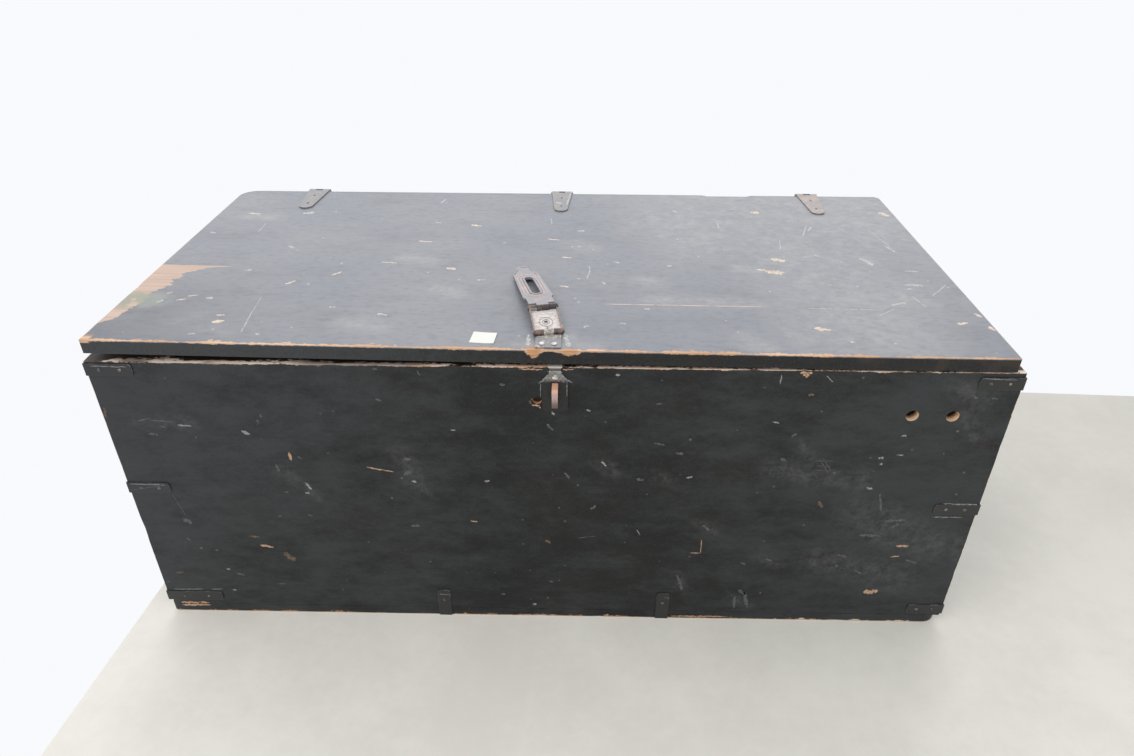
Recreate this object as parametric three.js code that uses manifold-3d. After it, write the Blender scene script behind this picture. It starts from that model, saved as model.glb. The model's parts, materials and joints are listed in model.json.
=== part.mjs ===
import * as THREE from "three";
import { mergeVertices } from "three/addons/utils/BufferGeometryUtils.js";
import Module from "manifold-3d";

// A black painted plank chest with a hinged lid and a folding hasp.
// Millimetres. X runs along the front, Y from front to back, Z up.
// The origin is the middle of the underside.

const wasm = await Module();
wasm.setup();

// Driving dimensions
const boxWidth = 910;
const boxDepth = 440;
const boxHeight = 348;
const sideBoard = 15;
const bottomBoard = 12;
const bottomFrontPlank = 214;
const touchGap = 0.3;
const overrun = 5;
const roundSides = 24;

// Worn lower corners of the box
const rightCornerRound = 18;
const otherCornerRound = 6;
const chipWidth = 3.5;
const chipHeight = 7;

// Lid
const lidBoard = 15;
const lidShortLeft = 4;
const lidShortRight = 10;
const lidFrontOverhang = 1;
const lidRearOverhang = 3;
const lidFrontPlank = 100;
const lidRestGap = 1.2;
const lidWarpRise = 8.5;
const lidWarpPower = 1.4;
const lidLeftCornerRound = 22;
const lidRightCornerRound = 8;
const lidSpansAcross = 24;
const rearChipLength = 62;
const rearChipSlope = 8;
const rearChipDepth = 4;
const rearChipFromMiddle = 205;

// Battens under the lid
const battenWidth = 42;
const battenThickness = 14;
const battenFromEnd = 175;
const battenEndGap = 6;
const battenSpans = 3;

// Iron corner straps
const strapIron = 1.2;
const strapWidth = 14;
const strapEndRound = 4;
const strapEndLeg = 44;
const leftStraps = { topDrop: 9, middleShare: 0.547, bottomRise: 26, topLeg: 46, middleLeg: 45, bottomLeg: 65 };
const rightStraps = { topDrop: 12, middleShare: 0.506, bottomRise: 23, topLeg: 43, middleLeg: 47, bottomLeg: 41 };

// Iron straps round the bottom edge
const footStrapWidth = 15;
const footStrapFromEnd = 327;
const footStrapRise = 42;
const footStrapFoot = 46;

// Holes in the front board
const drilledHole = 13;
const drilledHoleDrop = 51.5;
const drilledHoleFromEnd = 57.5;
const drilledHoleSpacing = 40;
const tornHole = 9;
const tornHoleDepth = 6;
const tornHoleDrop = 39;
const tornHoleFromPlate = 5;

// Nails
const nailHead = 5.6;
const nailHeadThickness = 1.1;
const nailShank = 2.2;
const nailLength = 11;
const nailPoint = 3;
const nailSides = 12;

// Staple and its plate
const stapleCentre = 3;
const plateIron = 1.5;
const plateWidth = 25.5;
const plateNeckWidth = 11.5;
const plateNeck = 6;
const plateShoulder = 8;
const plateDrop = 51;
const plateCorner = 3;
const plateTabWidth = 14;
const plateTabDepth = 11;
const plateNailDrop = 10.5;
const stapleWidth = 6;
const stapleWire = 3.2;
const stapleProud = 14;
const stapleDrop = 17.5;
const stapleHeight = 22;
const stapleBend = 4;
const stapleClench = 9;

// Hinges
const hingeFromEnd = 110;
const hingeIron = 1.5;
const hingeBarrel = 7.6;
const hingePin = 3;
const hingeRootWidth = 29;
const hingeTipWidth = 18;
const hingeMiddleKnuckle = 9;
const upperLeaf = 72;
const lowerLeaf = 62;
const hingeLidGap = 0.6;
const leafBendDrop = 2;
const leafBendHeight = 6;
const knuckleGap = 0.4;
const pinHead = 1;

// Hasp
const haspCentre = -4;
const haspIron = 1.5;
const haspBarrel = 6.2;
const haspPin = 2.6;
const haspKnuckle = 10;
const basePlateWidth = 25;
const basePlateSetback = 3;
const basePlate = 27;
const basePlateNailSetback = 6;
const basePlateNailSpacing = 12;
const linkWidth = 29;
const linkLength = 39;
const linkFlange = 4.4;
const linkFlangeIron = 1.3;
const linkBoss = 11;
const linkBossTip = 6;
const linkBossHeight = 3.1;
const linkBossHole = 4;
const linkBossSetback = 17.5;
const linkNailHole = 2;
const linkNailHoleSetback = 8;
const tongueLength = 124;
const tongueIron = 1.6;
const tongueKnuckle = 12.5;
const tongueNeck = 5;
const tongueNeckWidth = 27;
const tongueShoulder = 24;
const tongueShoulderSlope = 3;
const tongueWidth = 32;
const tongueTip = 28;
const tongueTipRootWidth = 28;
const tongueTipWidth = 9;
const slotSetback = 31;
const slotLength = 52;
const slotWidth = 9;
const slotRim = 2.2;
const slotRimHeight = 1;
const haspSkew = THREE.MathUtils.degToRad(11);
const tongueSkew = THREE.MathUtils.degToRad(3);

// Places that follow from the sizes above
const frontFace = -boxDepth / 2;
const rearFace = boxDepth / 2;
const leftFace = -boxWidth / 2;
const rightFace = boxWidth / 2;
const lidLeft = leftFace + lidShortLeft;
const lidRight = rightFace - lidShortRight;
const lidFront = frontFace - lidFrontOverhang;
const lidRear = rearFace + lidRearOverhang;
const lidUnder = boxHeight + lidRestGap;
const lidTop = lidUnder + lidBoard;
const lidSeam = lidFront + lidFrontPlank;
const plateFront = frontFace - plateIron;
const hingeRadius = hingeBarrel / 2;
const hingeAxisY = lidRear + hingeLidGap + hingeRadius;
const hingeAxisZ = lidTop + touchGap + hingeIron - hingeRadius;
const haspRadius = haspBarrel / 2;
const haspAxisRise = touchGap + haspRadius;

const blackPaint = { color: 0x33363a, roughness: 0.5, metalness: 0 };
const sheenPaint = { color: 0x4c5054, roughness: 0.4, metalness: 0 };
const bareWood = { color: 0xa9845c, roughness: 0.8, metalness: 0 };
const blackIron = { color: 0x2b2b2d, roughness: 0.5, metalness: 0.6 };
const rustyIron = { color: 0x7d6a62, roughness: 0.6, metalness: 0.7 };

const chest = new THREE.Group();

function addPart(name, geometry, finish, parent = chest) {
  const facets = geometry.index ? geometry.toNonIndexed() : geometry;
  facets.computeVertexNormals();
  const mesh = new THREE.Mesh(facets, new THREE.MeshStandardMaterial(finish));
  mesh.name = name;
  parent.add(mesh);
}

// Solids, joined and cut

function withSharedVertices(geometry) {
  const bare = geometry.clone();
  for (const name of Object.keys(bare.attributes)) {
    if (name !== "position") bare.deleteAttribute(name);
  }
  return mergeVertices(bare);
}

function toSolid(geometry) {
  const merged = withSharedVertices(geometry);
  return new wasm.Manifold(new wasm.Mesh({
    numProp: 3,
    vertProperties: new Float32Array(merged.attributes.position.array),
    triVerts: new Uint32Array(merged.index.array),
  }));
}

function toGeometry(solid) {
  const mesh = solid.getMesh();
  const geometry = new THREE.BufferGeometry();
  geometry.setAttribute("position", new THREE.BufferAttribute(new Float32Array(mesh.vertProperties), 3));
  geometry.setIndex(new THREE.BufferAttribute(new Uint32Array(mesh.triVerts), 1));
  return geometry;
}

function shaped({ add, cut = [], keep = [] }) {
  let solid = toSolid(add[0]);
  for (const piece of add.slice(1)) solid = solid.add(toSolid(piece));
  for (const piece of cut) solid = solid.subtract(toSolid(piece));
  for (const piece of keep) solid = solid.intersect(toSolid(piece));
  return toGeometry(solid);
}

// A box from its lowest to its highest corner
function boxBetween(low, high, spans = [1, 1, 1]) {
  const size = high.map((value, i) => value - low[i]);
  const centre = high.map((value, i) => (value + low[i]) / 2);
  return new THREE.BoxGeometry(...size, ...spans).translate(...centre);
}

// A round bar along one axis, centred on a point, with a flat facet towards each axis
function roundBar(axis, diameter, length, centre, sides = roundSides) {
  const bar = new THREE.CylinderGeometry(
    diameter / 2, diameter / 2, length, sides, 1, false, Math.PI / sides);
  if (axis === "x") bar.rotateZ(Math.PI / 2);
  if (axis === "z") bar.rotateX(Math.PI / 2);
  return bar.translate(...centre);
}

function outline(points) {
  return new THREE.Shape(points.map(([x, y]) => new THREE.Vector2(x, y)));
}

// A plate drawn in X and Y, thick in Z
function flatPlate(shape, thickness, bottom = 0) {
  return new THREE.ExtrudeGeometry(shape, { depth: thickness, bevelEnabled: false, curveSegments: 6 })
    .translate(0, 0, bottom);
}

// A plate drawn in X and Z, thick in Y from its front face
function uprightPlate(shape, thickness, front) {
  return flatPlate(shape, thickness).rotateX(Math.PI / 2).translate(0, front + thickness, 0);
}

// A bent band drawn in Y and Z, wide in X
function bentBand(shape, width, middle = 0) {
  return flatPlate(shape, width).rotateX(Math.PI / 2).rotateZ(Math.PI / 2).translate(middle - width / 2, 0, 0);
}

// A copy turned over across X and Y, with its faces still pointing out
function mirrored(geometry, signX, signY) {
  const copy = withSharedVertices(geometry).scale(signX, signY, 1);
  if (signX * signY < 0) copy.index.array.reverse();
  return copy;
}

// A rounded corner to cut off a board seen from above
function cornerCut([x, y], radius, [low, high]) {
  const [signX, signY] = [Math.sign(x), Math.sign(y)];
  const [innerX, innerY] = [x - signX * radius, y - signY * radius];
  const [outerX, outerY] = [x + signX * overrun, y + signY * overrun];
  const block = boxBetween(
    [Math.min(innerX, outerX), Math.min(innerY, outerY), low],
    [Math.max(innerX, outerX), Math.max(innerY, outerY), high],
  );
  const round = roundBar("z", radius * 2, high - low + overrun * 2, [innerX, innerY, (low + high) / 2]);
  return shaped({ add: [block], cut: [round] });
}

// A round piece from its radii and heights, upwards along Y
function turned(profile, sides) {
  return new THREE.LatheGeometry(profile.map(([x, y]) => new THREE.Vector2(x, y)), sides);
}

// A nail pointing down, with the underside of its head at zero
function nail() {
  const [head, shank] = [nailHead / 2, nailShank / 2];
  return turned([
    [0, -nailLength], [shank, nailPoint - nailLength], [shank, 0], [head, 0],
    [head, nailHeadThickness / 2], [head / 2, nailHeadThickness], [0, nailHeadThickness],
  ], nailSides).rotateX(Math.PI / 2);
}

function nailHole() {
  return roundBar("z", nailShank + touchGap * 2, (nailLength + touchGap) * 2, [0, 0, 0], nailSides);
}

// A pin along X with a riveted head at each end of the barrel
function pin(diameter, barrelLength) {
  const [shank, head, end] = [diameter / 2, diameter / 2 + pinHead, barrelLength / 2 + touchGap];
  const half = [[shank, end], [head, end], [head, end + pinHead / 2], [shank, end + pinHead], [0, end + pinHead]];
  return turned([...half.map(([x, y]) => [x, -y]).reverse(), ...half], roundSides).rotateZ(Math.PI / 2);
}

function bore(diameter, length) {
  return roundBar("x", diameter + touchGap * 2, length + overrun * 2, [0, 0, 0]);
}

// The lid has warped: its front left corner stands off the box
function lidLift(x, y) {
  const fromRight = THREE.MathUtils.clamp((lidRight - x) / (lidRight - lidLeft), 0, 1);
  const fromRear = THREE.MathUtils.clamp((lidRear - y) / (lidRear - lidFront), 0, 1);
  return lidWarpRise * fromRight ** lidWarpPower * fromRear;
}

function warped(geometry) {
  const place = geometry.attributes.position;
  for (let i = 0; i < place.count; i++) {
    place.setZ(i, place.getZ(i) + lidLift(place.getX(i), place.getY(i)));
  }
  return geometry;
}

// Boards of the box

const drilledHoleX = rightFace - drilledHoleFromEnd;
const drilledHoleZ = boxHeight - drilledHoleDrop;
const boardMiddle = frontFace + sideBoard / 2;
const boardThrough = sideBoard + overrun * 2;
const rightArcStart = Math.asin(1 - bottomBoard / rightCornerRound);
const footStrapPlaces = [frontFace, rearFace].flatMap((face) => [-1, 1].map((side) => ({ face, side })));

function frontBoard() {
  const shape = outline([
    [leftFace, boxHeight], [leftFace, bottomBoard + chipHeight],
    [leftFace + chipWidth, bottomBoard + chipHeight], [leftFace + chipWidth, bottomBoard],
  ]);
  shape.absarc(rightFace - rightCornerRound, rightCornerRound, rightCornerRound, -rightArcStart, 0, false);
  shape.lineTo(rightFace, boxHeight);
  const holes = [drilledHoleX - drilledHoleSpacing, drilledHoleX].map(
    (x) => roundBar("y", drilledHole, boardThrough, [x, boardMiddle, drilledHoleZ]));
  const tornX = stapleCentre - plateWidth / 2 - tornHoleFromPlate;
  const torn = roundBar("y", tornHole, tornHoleDepth * 2, [tornX, frontFace, boxHeight - tornHoleDrop], nailSides);
  return shaped({
    add: [uprightPlate(shape, sideBoard, frontFace)],
    cut: [...holes, torn, ...stapleLegHoles(), atPlateNail(nailHole())],
  });
}

function bottomPlank(front, rear) {
  const recess = footStrapFoot + touchGap;
  const halfWidth = footStrapWidth / 2 + touchGap;
  const feet = footStrapPlaces.map(({ face, side }) => {
    const x = side * (rightFace - footStrapFromEnd);
    const inner = face - Math.sign(face) * recess;
    return boxBetween([x - halfWidth, Math.min(face, inner), -overrun], [x + halfWidth, Math.max(face, inner), strapIron]);
  });
  const levels = [-overrun, bottomBoard + overrun];
  const corners = [
    cornerCut([rightFace, frontFace], rightCornerRound, levels),
    cornerCut([leftFace, frontFace], otherCornerRound, levels),
    cornerCut([rightFace, rearFace], otherCornerRound, levels),
    cornerCut([leftFace, rearFace], otherCornerRound, levels),
  ];
  return shaped({ add: [boxBetween([leftFace, front, 0], [rightFace, rear, bottomBoard])], cut: [...feet, ...corners] });
}

function addBoards() {
  const [front, rear] = [frontFace + sideBoard, rearFace - sideBoard];
  addPart("front_board", frontBoard(), blackPaint);
  addPart("rear_board", boxBetween([leftFace, rear, bottomBoard], [rightFace, rearFace, boxHeight]), blackPaint);
  for (const [name, x] of [["left", leftFace], ["right", rightFace - sideBoard]]) {
    addPart(`${name}_end_board`, boxBetween([x, front, bottomBoard], [x + sideBoard, rear, boxHeight]), blackPaint);
  }
  const joint = frontFace + bottomFrontPlank;
  addPart("bottom_front_plank", bottomPlank(frontFace, joint), bareWood);
  addPart("bottom_rear_plank", bottomPlank(joint, rearFace), bareWood);
}

// Iron straps

// A strap leg along X from zero, with a rounded end, its back on the plane y = 0
function strapLeg(length, width) {
  const [end, side] = [length - strapEndRound, width / 2 - strapEndRound];
  const shape = outline([[0, -width / 2], [end, -width / 2]]);
  shape.absarc(end, -side, strapEndRound, -Math.PI / 2, 0, false);
  shape.absarc(end, side, strapEndRound, 0, Math.PI / 2, false);
  shape.lineTo(0, width / 2);
  return uprightPlate(shape, strapIron, -strapIron);
}

// A strap round the edge between a front face and a left face that meet at zero
function cornerStrap(frontLeg, signX, signY, level) {
  const front = strapLeg(frontLeg + strapIron, strapWidth).translate(-strapIron, 0, 0);
  const end = strapLeg(strapEndLeg + strapIron, strapWidth).rotateZ(Math.PI / 2).translate(-strapIron, -strapIron, 0);
  const place = [signX * leftFace, signY * frontFace, level];
  return shaped({ add: [front, end].map((leg) => mirrored(leg, signX, signY).translate(...place)) });
}

function addCornerStraps() {
  for (const [row, signY] of [["front", 1], ["rear", -1]]) {
    for (const [side, signX, straps] of [["left", 1, leftStraps], ["right", -1, rightStraps]]) {
      const rows = [
        ["top", boxHeight - straps.topDrop, straps.topLeg],
        ["middle", boxHeight * straps.middleShare, straps.middleLeg],
        ["bottom", straps.bottomRise, straps.bottomLeg],
      ];
      for (const [level, z, leg] of rows) {
        addPart(`${row}_${side}_${level}_strap`, cornerStrap(leg, signX, signY, z), blackIron);
      }
    }
  }
}

// A strap that climbs the front from under the bottom edge at zero
function footStrap() {
  const face = strapLeg(footStrapRise, footStrapWidth).rotateY(-Math.PI / 2);
  const foot = boxBetween([-footStrapWidth / 2, -strapIron, 0], [footStrapWidth / 2, footStrapFoot, strapIron]);
  return shaped({ add: [face, foot] });
}

function addFootStraps() {
  for (const { face, side } of footStrapPlaces) {
    const row = face < 0 ? "front" : "rear";
    const name = `${row}_${side < 0 ? "left" : "right"}_foot_strap`;
    const strap = mirrored(footStrap(), 1, -Math.sign(face));
    addPart(name, strap.translate(side * (rightFace - footStrapFromEnd), face, 0), blackIron);
  }
}

// Staple, its plate and the plate's nail

const stapleTop = boxHeight - stapleDrop;
const stapleFoot = stapleTop - stapleHeight;

function stapleLegHoles() {
  const half = stapleWidth / 2 + touchGap;
  return [stapleTop - stapleWire, stapleFoot].map((z) => boxBetween(
    [stapleCentre - half, plateFront - overrun, z - touchGap],
    [stapleCentre + half, frontFace + boardThrough, z + stapleWire + touchGap],
  ));
}

function atPlateNail(geometry) {
  return geometry.rotateX(Math.PI / 2).translate(stapleCentre, plateFront, boxHeight - plateNailDrop);
}

function staplePlate() {
  const [neck, side, foot] = [plateNeckWidth / 2, plateWidth / 2, boxHeight - plateDrop];
  const shoulder = boxHeight - plateNeck - plateShoulder;
  const right = [
    [neck, boxHeight + plateIron], [neck, boxHeight - plateNeck], [side, shoulder],
    [side, foot + plateCorner], [side - plateCorner, foot],
  ];
  const left = right.map(([x, z]) => [-x, z]).reverse();
  const face = uprightPlate(outline([...right, ...left]), plateIron, plateFront).translate(stapleCentre, 0, 0);
  const tab = boxBetween(
    [stapleCentre - plateTabWidth / 2, plateFront, boxHeight],
    [stapleCentre + plateTabWidth / 2, frontFace + plateTabDepth, boxHeight + plateIron],
  );
  return shaped({ add: [face, tab], cut: [...stapleLegHoles(), atPlateNail(nailHole())] });
}

function staple() {
  const nose = plateFront - stapleProud;
  const inside = frontFace + sideBoard + touchGap;
  const shape = outline([[inside, stapleTop + stapleClench], [inside, stapleTop]]);
  shape.absarc(nose + stapleBend, stapleTop - stapleBend, stapleBend, Math.PI / 2, Math.PI, false);
  shape.absarc(nose + stapleBend, stapleFoot + stapleBend, stapleBend, Math.PI, Math.PI * 1.5, false);
  const rest = [
    [inside, stapleFoot], [inside, stapleFoot - stapleClench],
    [inside + stapleWire, stapleFoot - stapleClench], [inside + stapleWire, stapleFoot + stapleWire],
    [nose + stapleWire, stapleFoot + stapleWire], [nose + stapleWire, stapleTop - stapleWire],
    [inside + stapleWire, stapleTop - stapleWire], [inside + stapleWire, stapleTop + stapleClench],
  ];
  for (const [y, z] of rest) shape.lineTo(y, z);
  return bentBand(shape, stapleWidth, stapleCentre);
}

function addStaple() {
  addPart("staple_plate", staplePlate(), blackIron);
  addPart("staple", staple(), rustyIron);
  const head = nail().translate(0, 0, touchGap);
  addPart("staple_plate_nail", atPlateNail(head), rustyIron);
}

// Lid boards and battens

function lidPlank(front, rear, spansDeep, cuts) {
  const grid = boxBetween([lidLeft, front, lidUnder], [lidRight, rear, lidTop], [lidSpansAcross, spansDeep, 1]);
  return shaped({ add: [warped(grid)], cut: cuts });
}

function rearChip() {
  const start = rearChipFromMiddle;
  const end = start + rearChipLength;
  const inner = lidRear - rearChipDepth;
  const shape = outline([
    [start - rearChipSlope, lidRear + overrun], [start - rearChipSlope, lidRear], [start, inner],
    [end - rearChipSlope, inner], [end, lidRear], [end, lidRear + overrun],
  ]);
  return flatPlate(shape, lidBoard + overrun * 2, lidUnder - overrun);
}

function addLid() {
  const levels = [lidUnder - overrun, lidTop + lidWarpRise + overrun];
  const corners = [
    cornerCut([lidLeft, lidRear], lidLeftCornerRound, levels),
    cornerCut([lidRight, lidRear], lidRightCornerRound, levels),
  ];
  const nailHoles = baseNailPlaces.map((x) => onLid(atBaseNail(nailHole(), x)));
  addPart("lid_front_plank", lidPlank(lidFront, lidSeam, 2, nailHoles), sheenPaint);
  addPart("lid_rear_plank", lidPlank(lidSeam, lidRear, 6, [...corners, rearChip()]), sheenPaint);
  const top = lidUnder - touchGap;
  const [front, rear] = [frontFace + sideBoard + battenEndGap, rearFace - sideBoard - battenEndGap];
  for (const [name, side] of [["left", -1], ["right", 1]]) {
    const x = side * (rightFace - battenFromEnd);
    const batten = boxBetween([x - battenWidth / 2, front, top - battenThickness], [x + battenWidth / 2, rear, top],
      [battenSpans, 1, 1]);
    addPart(`lid_${name}_batten`, warped(batten), bareWood);
  }
}

// Hinges, drawn about the pin

// A leaf that narrows to a round tip, from its root at zero down to minus its reach
function leafOutline(straight, reach) {
  const [root, tip] = [hingeRootWidth / 2, hingeTipWidth / 2];
  const shape = outline([[root, hingeRadius + overrun], [-root, hingeRadius + overrun], [-root, -straight]]);
  shape.absarc(0, tip - reach, tip, Math.PI, Math.PI * 2, false);
  shape.lineTo(root, -straight);
  return shape;
}

// Room for the other leaf's knuckles, between two places along the pin
function knuckleRoom(from, to, radius, size) {
  return boxBetween([from, -radius - knuckleGap, -radius - knuckleGap], [to, size, size]);
}

function upperHingeLeaf() {
  const reach = upperLeaf + hingeAxisY - lidRear;
  const leaf = flatPlate(leafOutline(0, reach), hingeIron, hingeRadius - hingeIron);
  const inner = hingeMiddleKnuckle / 2 + knuckleGap;
  const past = boxBetween([-hingeRootWidth, 0, -hingeBarrel], [hingeRootWidth, hingeBarrel * 2, hingeBarrel]);
  return shaped({
    add: [shaped({ add: [leaf], cut: [past] }), roundBar("x", hingeBarrel, hingeRootWidth, [0, 0, 0])],
    cut: [bore(hingePin, hingeRootWidth), knuckleRoom(-inner, inner, hingeRadius, hingeBarrel)],
  });
}

function lowerHingeLeaf() {
  const onBoard = rearFace - hingeAxisY;
  const bendTop = boxHeight - leafBendDrop - hingeAxisZ;
  const bendFoot = bendTop - leafBendHeight;
  const reach = hingeAxisZ - boxHeight + lowerLeaf;
  const band = bentBand(outline([
    [-hingeRadius, 0], [-hingeRadius, bendTop], [onBoard, bendFoot], [onBoard, -reach],
    [onBoard + hingeIron, -reach], [onBoard + hingeIron, bendFoot],
    [hingeIron - hingeRadius, bendTop], [hingeIron - hingeRadius, 0],
  ]), hingeRootWidth);
  const inner = hingeMiddleKnuckle / 2;
  const rooms = [[-hingeRootWidth, -inner], [inner, hingeRootWidth]].map(
    ([from, to]) => knuckleRoom(from, to, hingeRadius, hingeBarrel));
  return shaped({
    add: [band, roundBar("x", hingeBarrel, hingeRootWidth, [0, 0, 0])],
    cut: [bore(hingePin, hingeRootWidth), ...rooms],
    keep: [uprightPlate(leafOutline(-bendFoot, reach), hingeBarrel * 3, -hingeBarrel * 1.5)],
  });
}

function addHinges() {
  for (const [name, side] of [["left", -1], ["middle", 0], ["right", 1]]) {
    const place = [side * (rightFace - hingeFromEnd), hingeAxisY, hingeAxisZ];
    addPart(`${name}_hinge_upper_leaf`, warped(upperHingeLeaf().translate(...place)), blackIron);
    addPart(`${name}_hinge_lower_leaf`, lowerHingeLeaf().translate(...place), blackIron);
    addPart(`${name}_hinge_pin`, pin(hingePin, hingeRootWidth).translate(...place), blackIron);
  }
}

// Hasp

const haspY = lidFront + basePlateSetback + basePlate;
const baseNailPlaces = [-basePlateNailSpacing / 2, basePlateNailSpacing / 2];

// The hasp's place on the warped top of the lid
function haspMatrix() {
  const here = lidLift(haspCentre, haspY);
  const slopeX = (lidLift(haspCentre + linkWidth, haspY) - lidLift(haspCentre - linkWidth, haspY)) / (linkWidth * 2);
  const slopeY = (lidLift(haspCentre, haspY + linkLength) - here) / linkLength;
  const across = new THREE.Vector3(1, 0, slopeX).normalize();
  const up = new THREE.Vector3(-slopeX, -slopeY, 1).normalize();
  const back = new THREE.Vector3().crossVectors(up, across);
  return new THREE.Matrix4().makeBasis(across, back, up).setPosition(haspCentre, haspY, lidTop + here);
}

function onLid(geometry) {
  return geometry.applyMatrix4(haspMatrix());
}

function atBaseNail(geometry, x) {
  return geometry.translate(x, basePlateNailSetback - basePlate, touchGap + haspIron);
}

// Room for the knuckles on either side of a middle knuckle
function sideRooms(middle) {
  return [[-linkWidth, -middle / 2], [middle / 2, linkWidth]].map(([from, to]) => boxBetween(
    [from, -haspRadius - knuckleGap, -haspBarrel], [to, haspBarrel * 2, haspBarrel]));
}

function middleRoom(middle) {
  const half = middle / 2 + knuckleGap;
  return boxBetween([-half, -haspRadius - knuckleGap, -haspBarrel], [half, haspRadius + knuckleGap, haspBarrel]);
}

function haspBasePlate() {
  const half = basePlateWidth / 2;
  const skew = half * Math.tan(haspSkew);
  const shape = outline([[-half, -basePlate], [half, -basePlate], [half, skew], [-half, -skew]]);
  const atKnuckle = (geometry) => geometry.rotateZ(haspSkew).translate(0, 0, haspAxisRise);
  return shaped({
    add: [flatPlate(shape, haspIron, touchGap), atKnuckle(roundBar("x", haspBarrel, linkWidth, [0, 0, 0]))],
    cut: [
      atKnuckle(bore(haspPin, linkWidth)), ...sideRooms(haspKnuckle).map(atKnuckle),
      ...baseNailPlaces.map((x) => atBaseNail(nailHole(), x)),
    ],
  });
}

// The link is a shallow tray, open upwards when it is folded back
function haspLink() {
  const half = linkWidth / 2;
  const skew = half * Math.tan(tongueSkew);
  const shape = outline([[-half, 0], [half, 0], [half, linkLength + skew], [-half, linkLength - skew]]);
  const flange = (from) => boxBetween([from, 0, -haspRadius], [from + linkFlangeIron, linkLength, linkFlange - haspRadius]);
  const atTongue = (geometry) => geometry.rotateZ(tongueSkew).translate(0, linkLength, 0);
  const boss = turned([
    [0, -linkBossHeight], [linkBossTip / 2, -linkBossHeight], [linkBoss / 2, 0],
    [linkBoss / 2, haspIron / 2], [0, haspIron / 2],
  ], roundSides).rotateX(Math.PI / 2).translate(0, linkBossSetback, -haspRadius);
  const dish = roundBar("z", linkBossHole, haspIron + linkBossHeight, [0, linkBossSetback, haspIron - haspRadius]);
  const nailHoleBar = roundBar("z", linkNailHole, haspBarrel, [0, linkNailHoleSetback, -haspRadius], nailSides);
  return shaped({
    add: [
      flatPlate(shape, haspIron, -haspRadius), flange(-half), flange(half - linkFlangeIron), boss,
      roundBar("x", haspBarrel, linkWidth, [0, 0, 0]),
      atTongue(roundBar("x", haspBarrel, linkWidth + overrun, [0, 0, 0])),
    ],
    cut: [
      bore(haspPin, linkWidth), atTongue(bore(haspPin, linkWidth)), middleRoom(haspKnuckle),
      atTongue(middleRoom(tongueKnuckle)), dish, nailHoleBar,
    ],
    keep: [boxBetween([-half, -linkLength, -linkLength], [half, linkLength * 2, linkLength])],
  });
}

function slotOutline(grow) {
  const radius = slotWidth / 2;
  const shape = new THREE.Shape();
  shape.absarc(0, slotSetback + radius, radius + grow, Math.PI, Math.PI * 2, false);
  shape.absarc(0, slotSetback + slotLength - radius, radius + grow, 0, Math.PI, false);
  return shape;
}

function haspTongue() {
  const right = [
    [tongueKnuckle / 2, 0], [tongueKnuckle / 2, tongueNeck], [tongueNeckWidth / 2, tongueNeck],
    [tongueNeckWidth / 2, tongueShoulder - tongueShoulderSlope], [tongueWidth / 2, tongueShoulder],
    [tongueTipRootWidth / 2, tongueLength - tongueTip], [tongueTipWidth / 2, tongueLength],
  ];
  const left = right.map(([x, y]) => [-x, y]).reverse();
  const leaf = flatPlate(outline([...right, ...left]), tongueIron, haspRadius - tongueIron);
  const rim = flatPlate(slotOutline(slotRim), tongueIron + slotRimHeight, haspRadius - tongueIron);
  return shaped({
    add: [leaf, rim, roundBar("x", haspBarrel, tongueKnuckle, [0, 0, 0])],
    cut: [bore(haspPin, linkWidth), flatPlate(slotOutline(0), haspBarrel * 2, -haspBarrel)],
  });
}

// The link folds back until its boss lies on the lid, and the tongue until its tip does
function restAngle(along, below, drop) {
  return Math.atan2(below, along) + Math.asin(drop / Math.hypot(along, below));
}

const linkRise = restAngle(linkBossSetback - linkBossTip / 2, haspRadius + linkBossHeight, touchGap - haspAxisRise);
const tongueAxisRise = haspAxisRise + linkLength * Math.sin(linkRise);
const tongueFall = restAngle(tongueLength, haspRadius - tongueIron, tongueAxisRise - touchGap);

function addHasp() {
  const onTop = new THREE.Group();
  onTop.applyMatrix4(haspMatrix());
  chest.add(onTop);
  addPart("hasp_base_plate", haspBasePlate(), blackIron, onTop);
  baseNailPlaces.forEach((x, i) => {
    const head = atBaseNail(nail().translate(0, 0, touchGap), x);
    addPart(`hasp_${["left", "right"][i]}_nail`, head, rustyIron, onTop);
  });

  const baseKnuckle = new THREE.Group();
  baseKnuckle.name = "hasp_base_knuckle";
  baseKnuckle.position.z = haspAxisRise;
  baseKnuckle.rotation.z = haspSkew;
  onTop.add(baseKnuckle);
  addPart("hasp_base_pin", pin(haspPin, linkWidth), blackIron, baseKnuckle);

  const link = new THREE.Group();
  link.rotation.x = linkRise;
  baseKnuckle.add(link);
  addPart("hasp_link", haspLink(), rustyIron, link);

  const tongueKnuckles = new THREE.Group();
  tongueKnuckles.name = "hasp_tongue_knuckle";
  tongueKnuckles.position.y = linkLength;
  tongueKnuckles.rotation.z = tongueSkew;
  link.add(tongueKnuckles);
  addPart("hasp_tongue_pin", pin(haspPin, linkWidth), blackIron, tongueKnuckles);

  const tongue = new THREE.Group();
  tongue.rotation.x = -linkRise - tongueFall;
  tongueKnuckles.add(tongue);
  addPart("hasp_tongue", haspTongue(), rustyIron, tongue);
}

addBoards();
addCornerStraps();
addFootStraps();
addStaple();
addLid();
addHinges();
addHasp();

export default chest;
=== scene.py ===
import json
import math

import bmesh
import bpy
from mathutils import Matrix, Vector, noise
from mathutils.bvhtree import BVHTree


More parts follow.
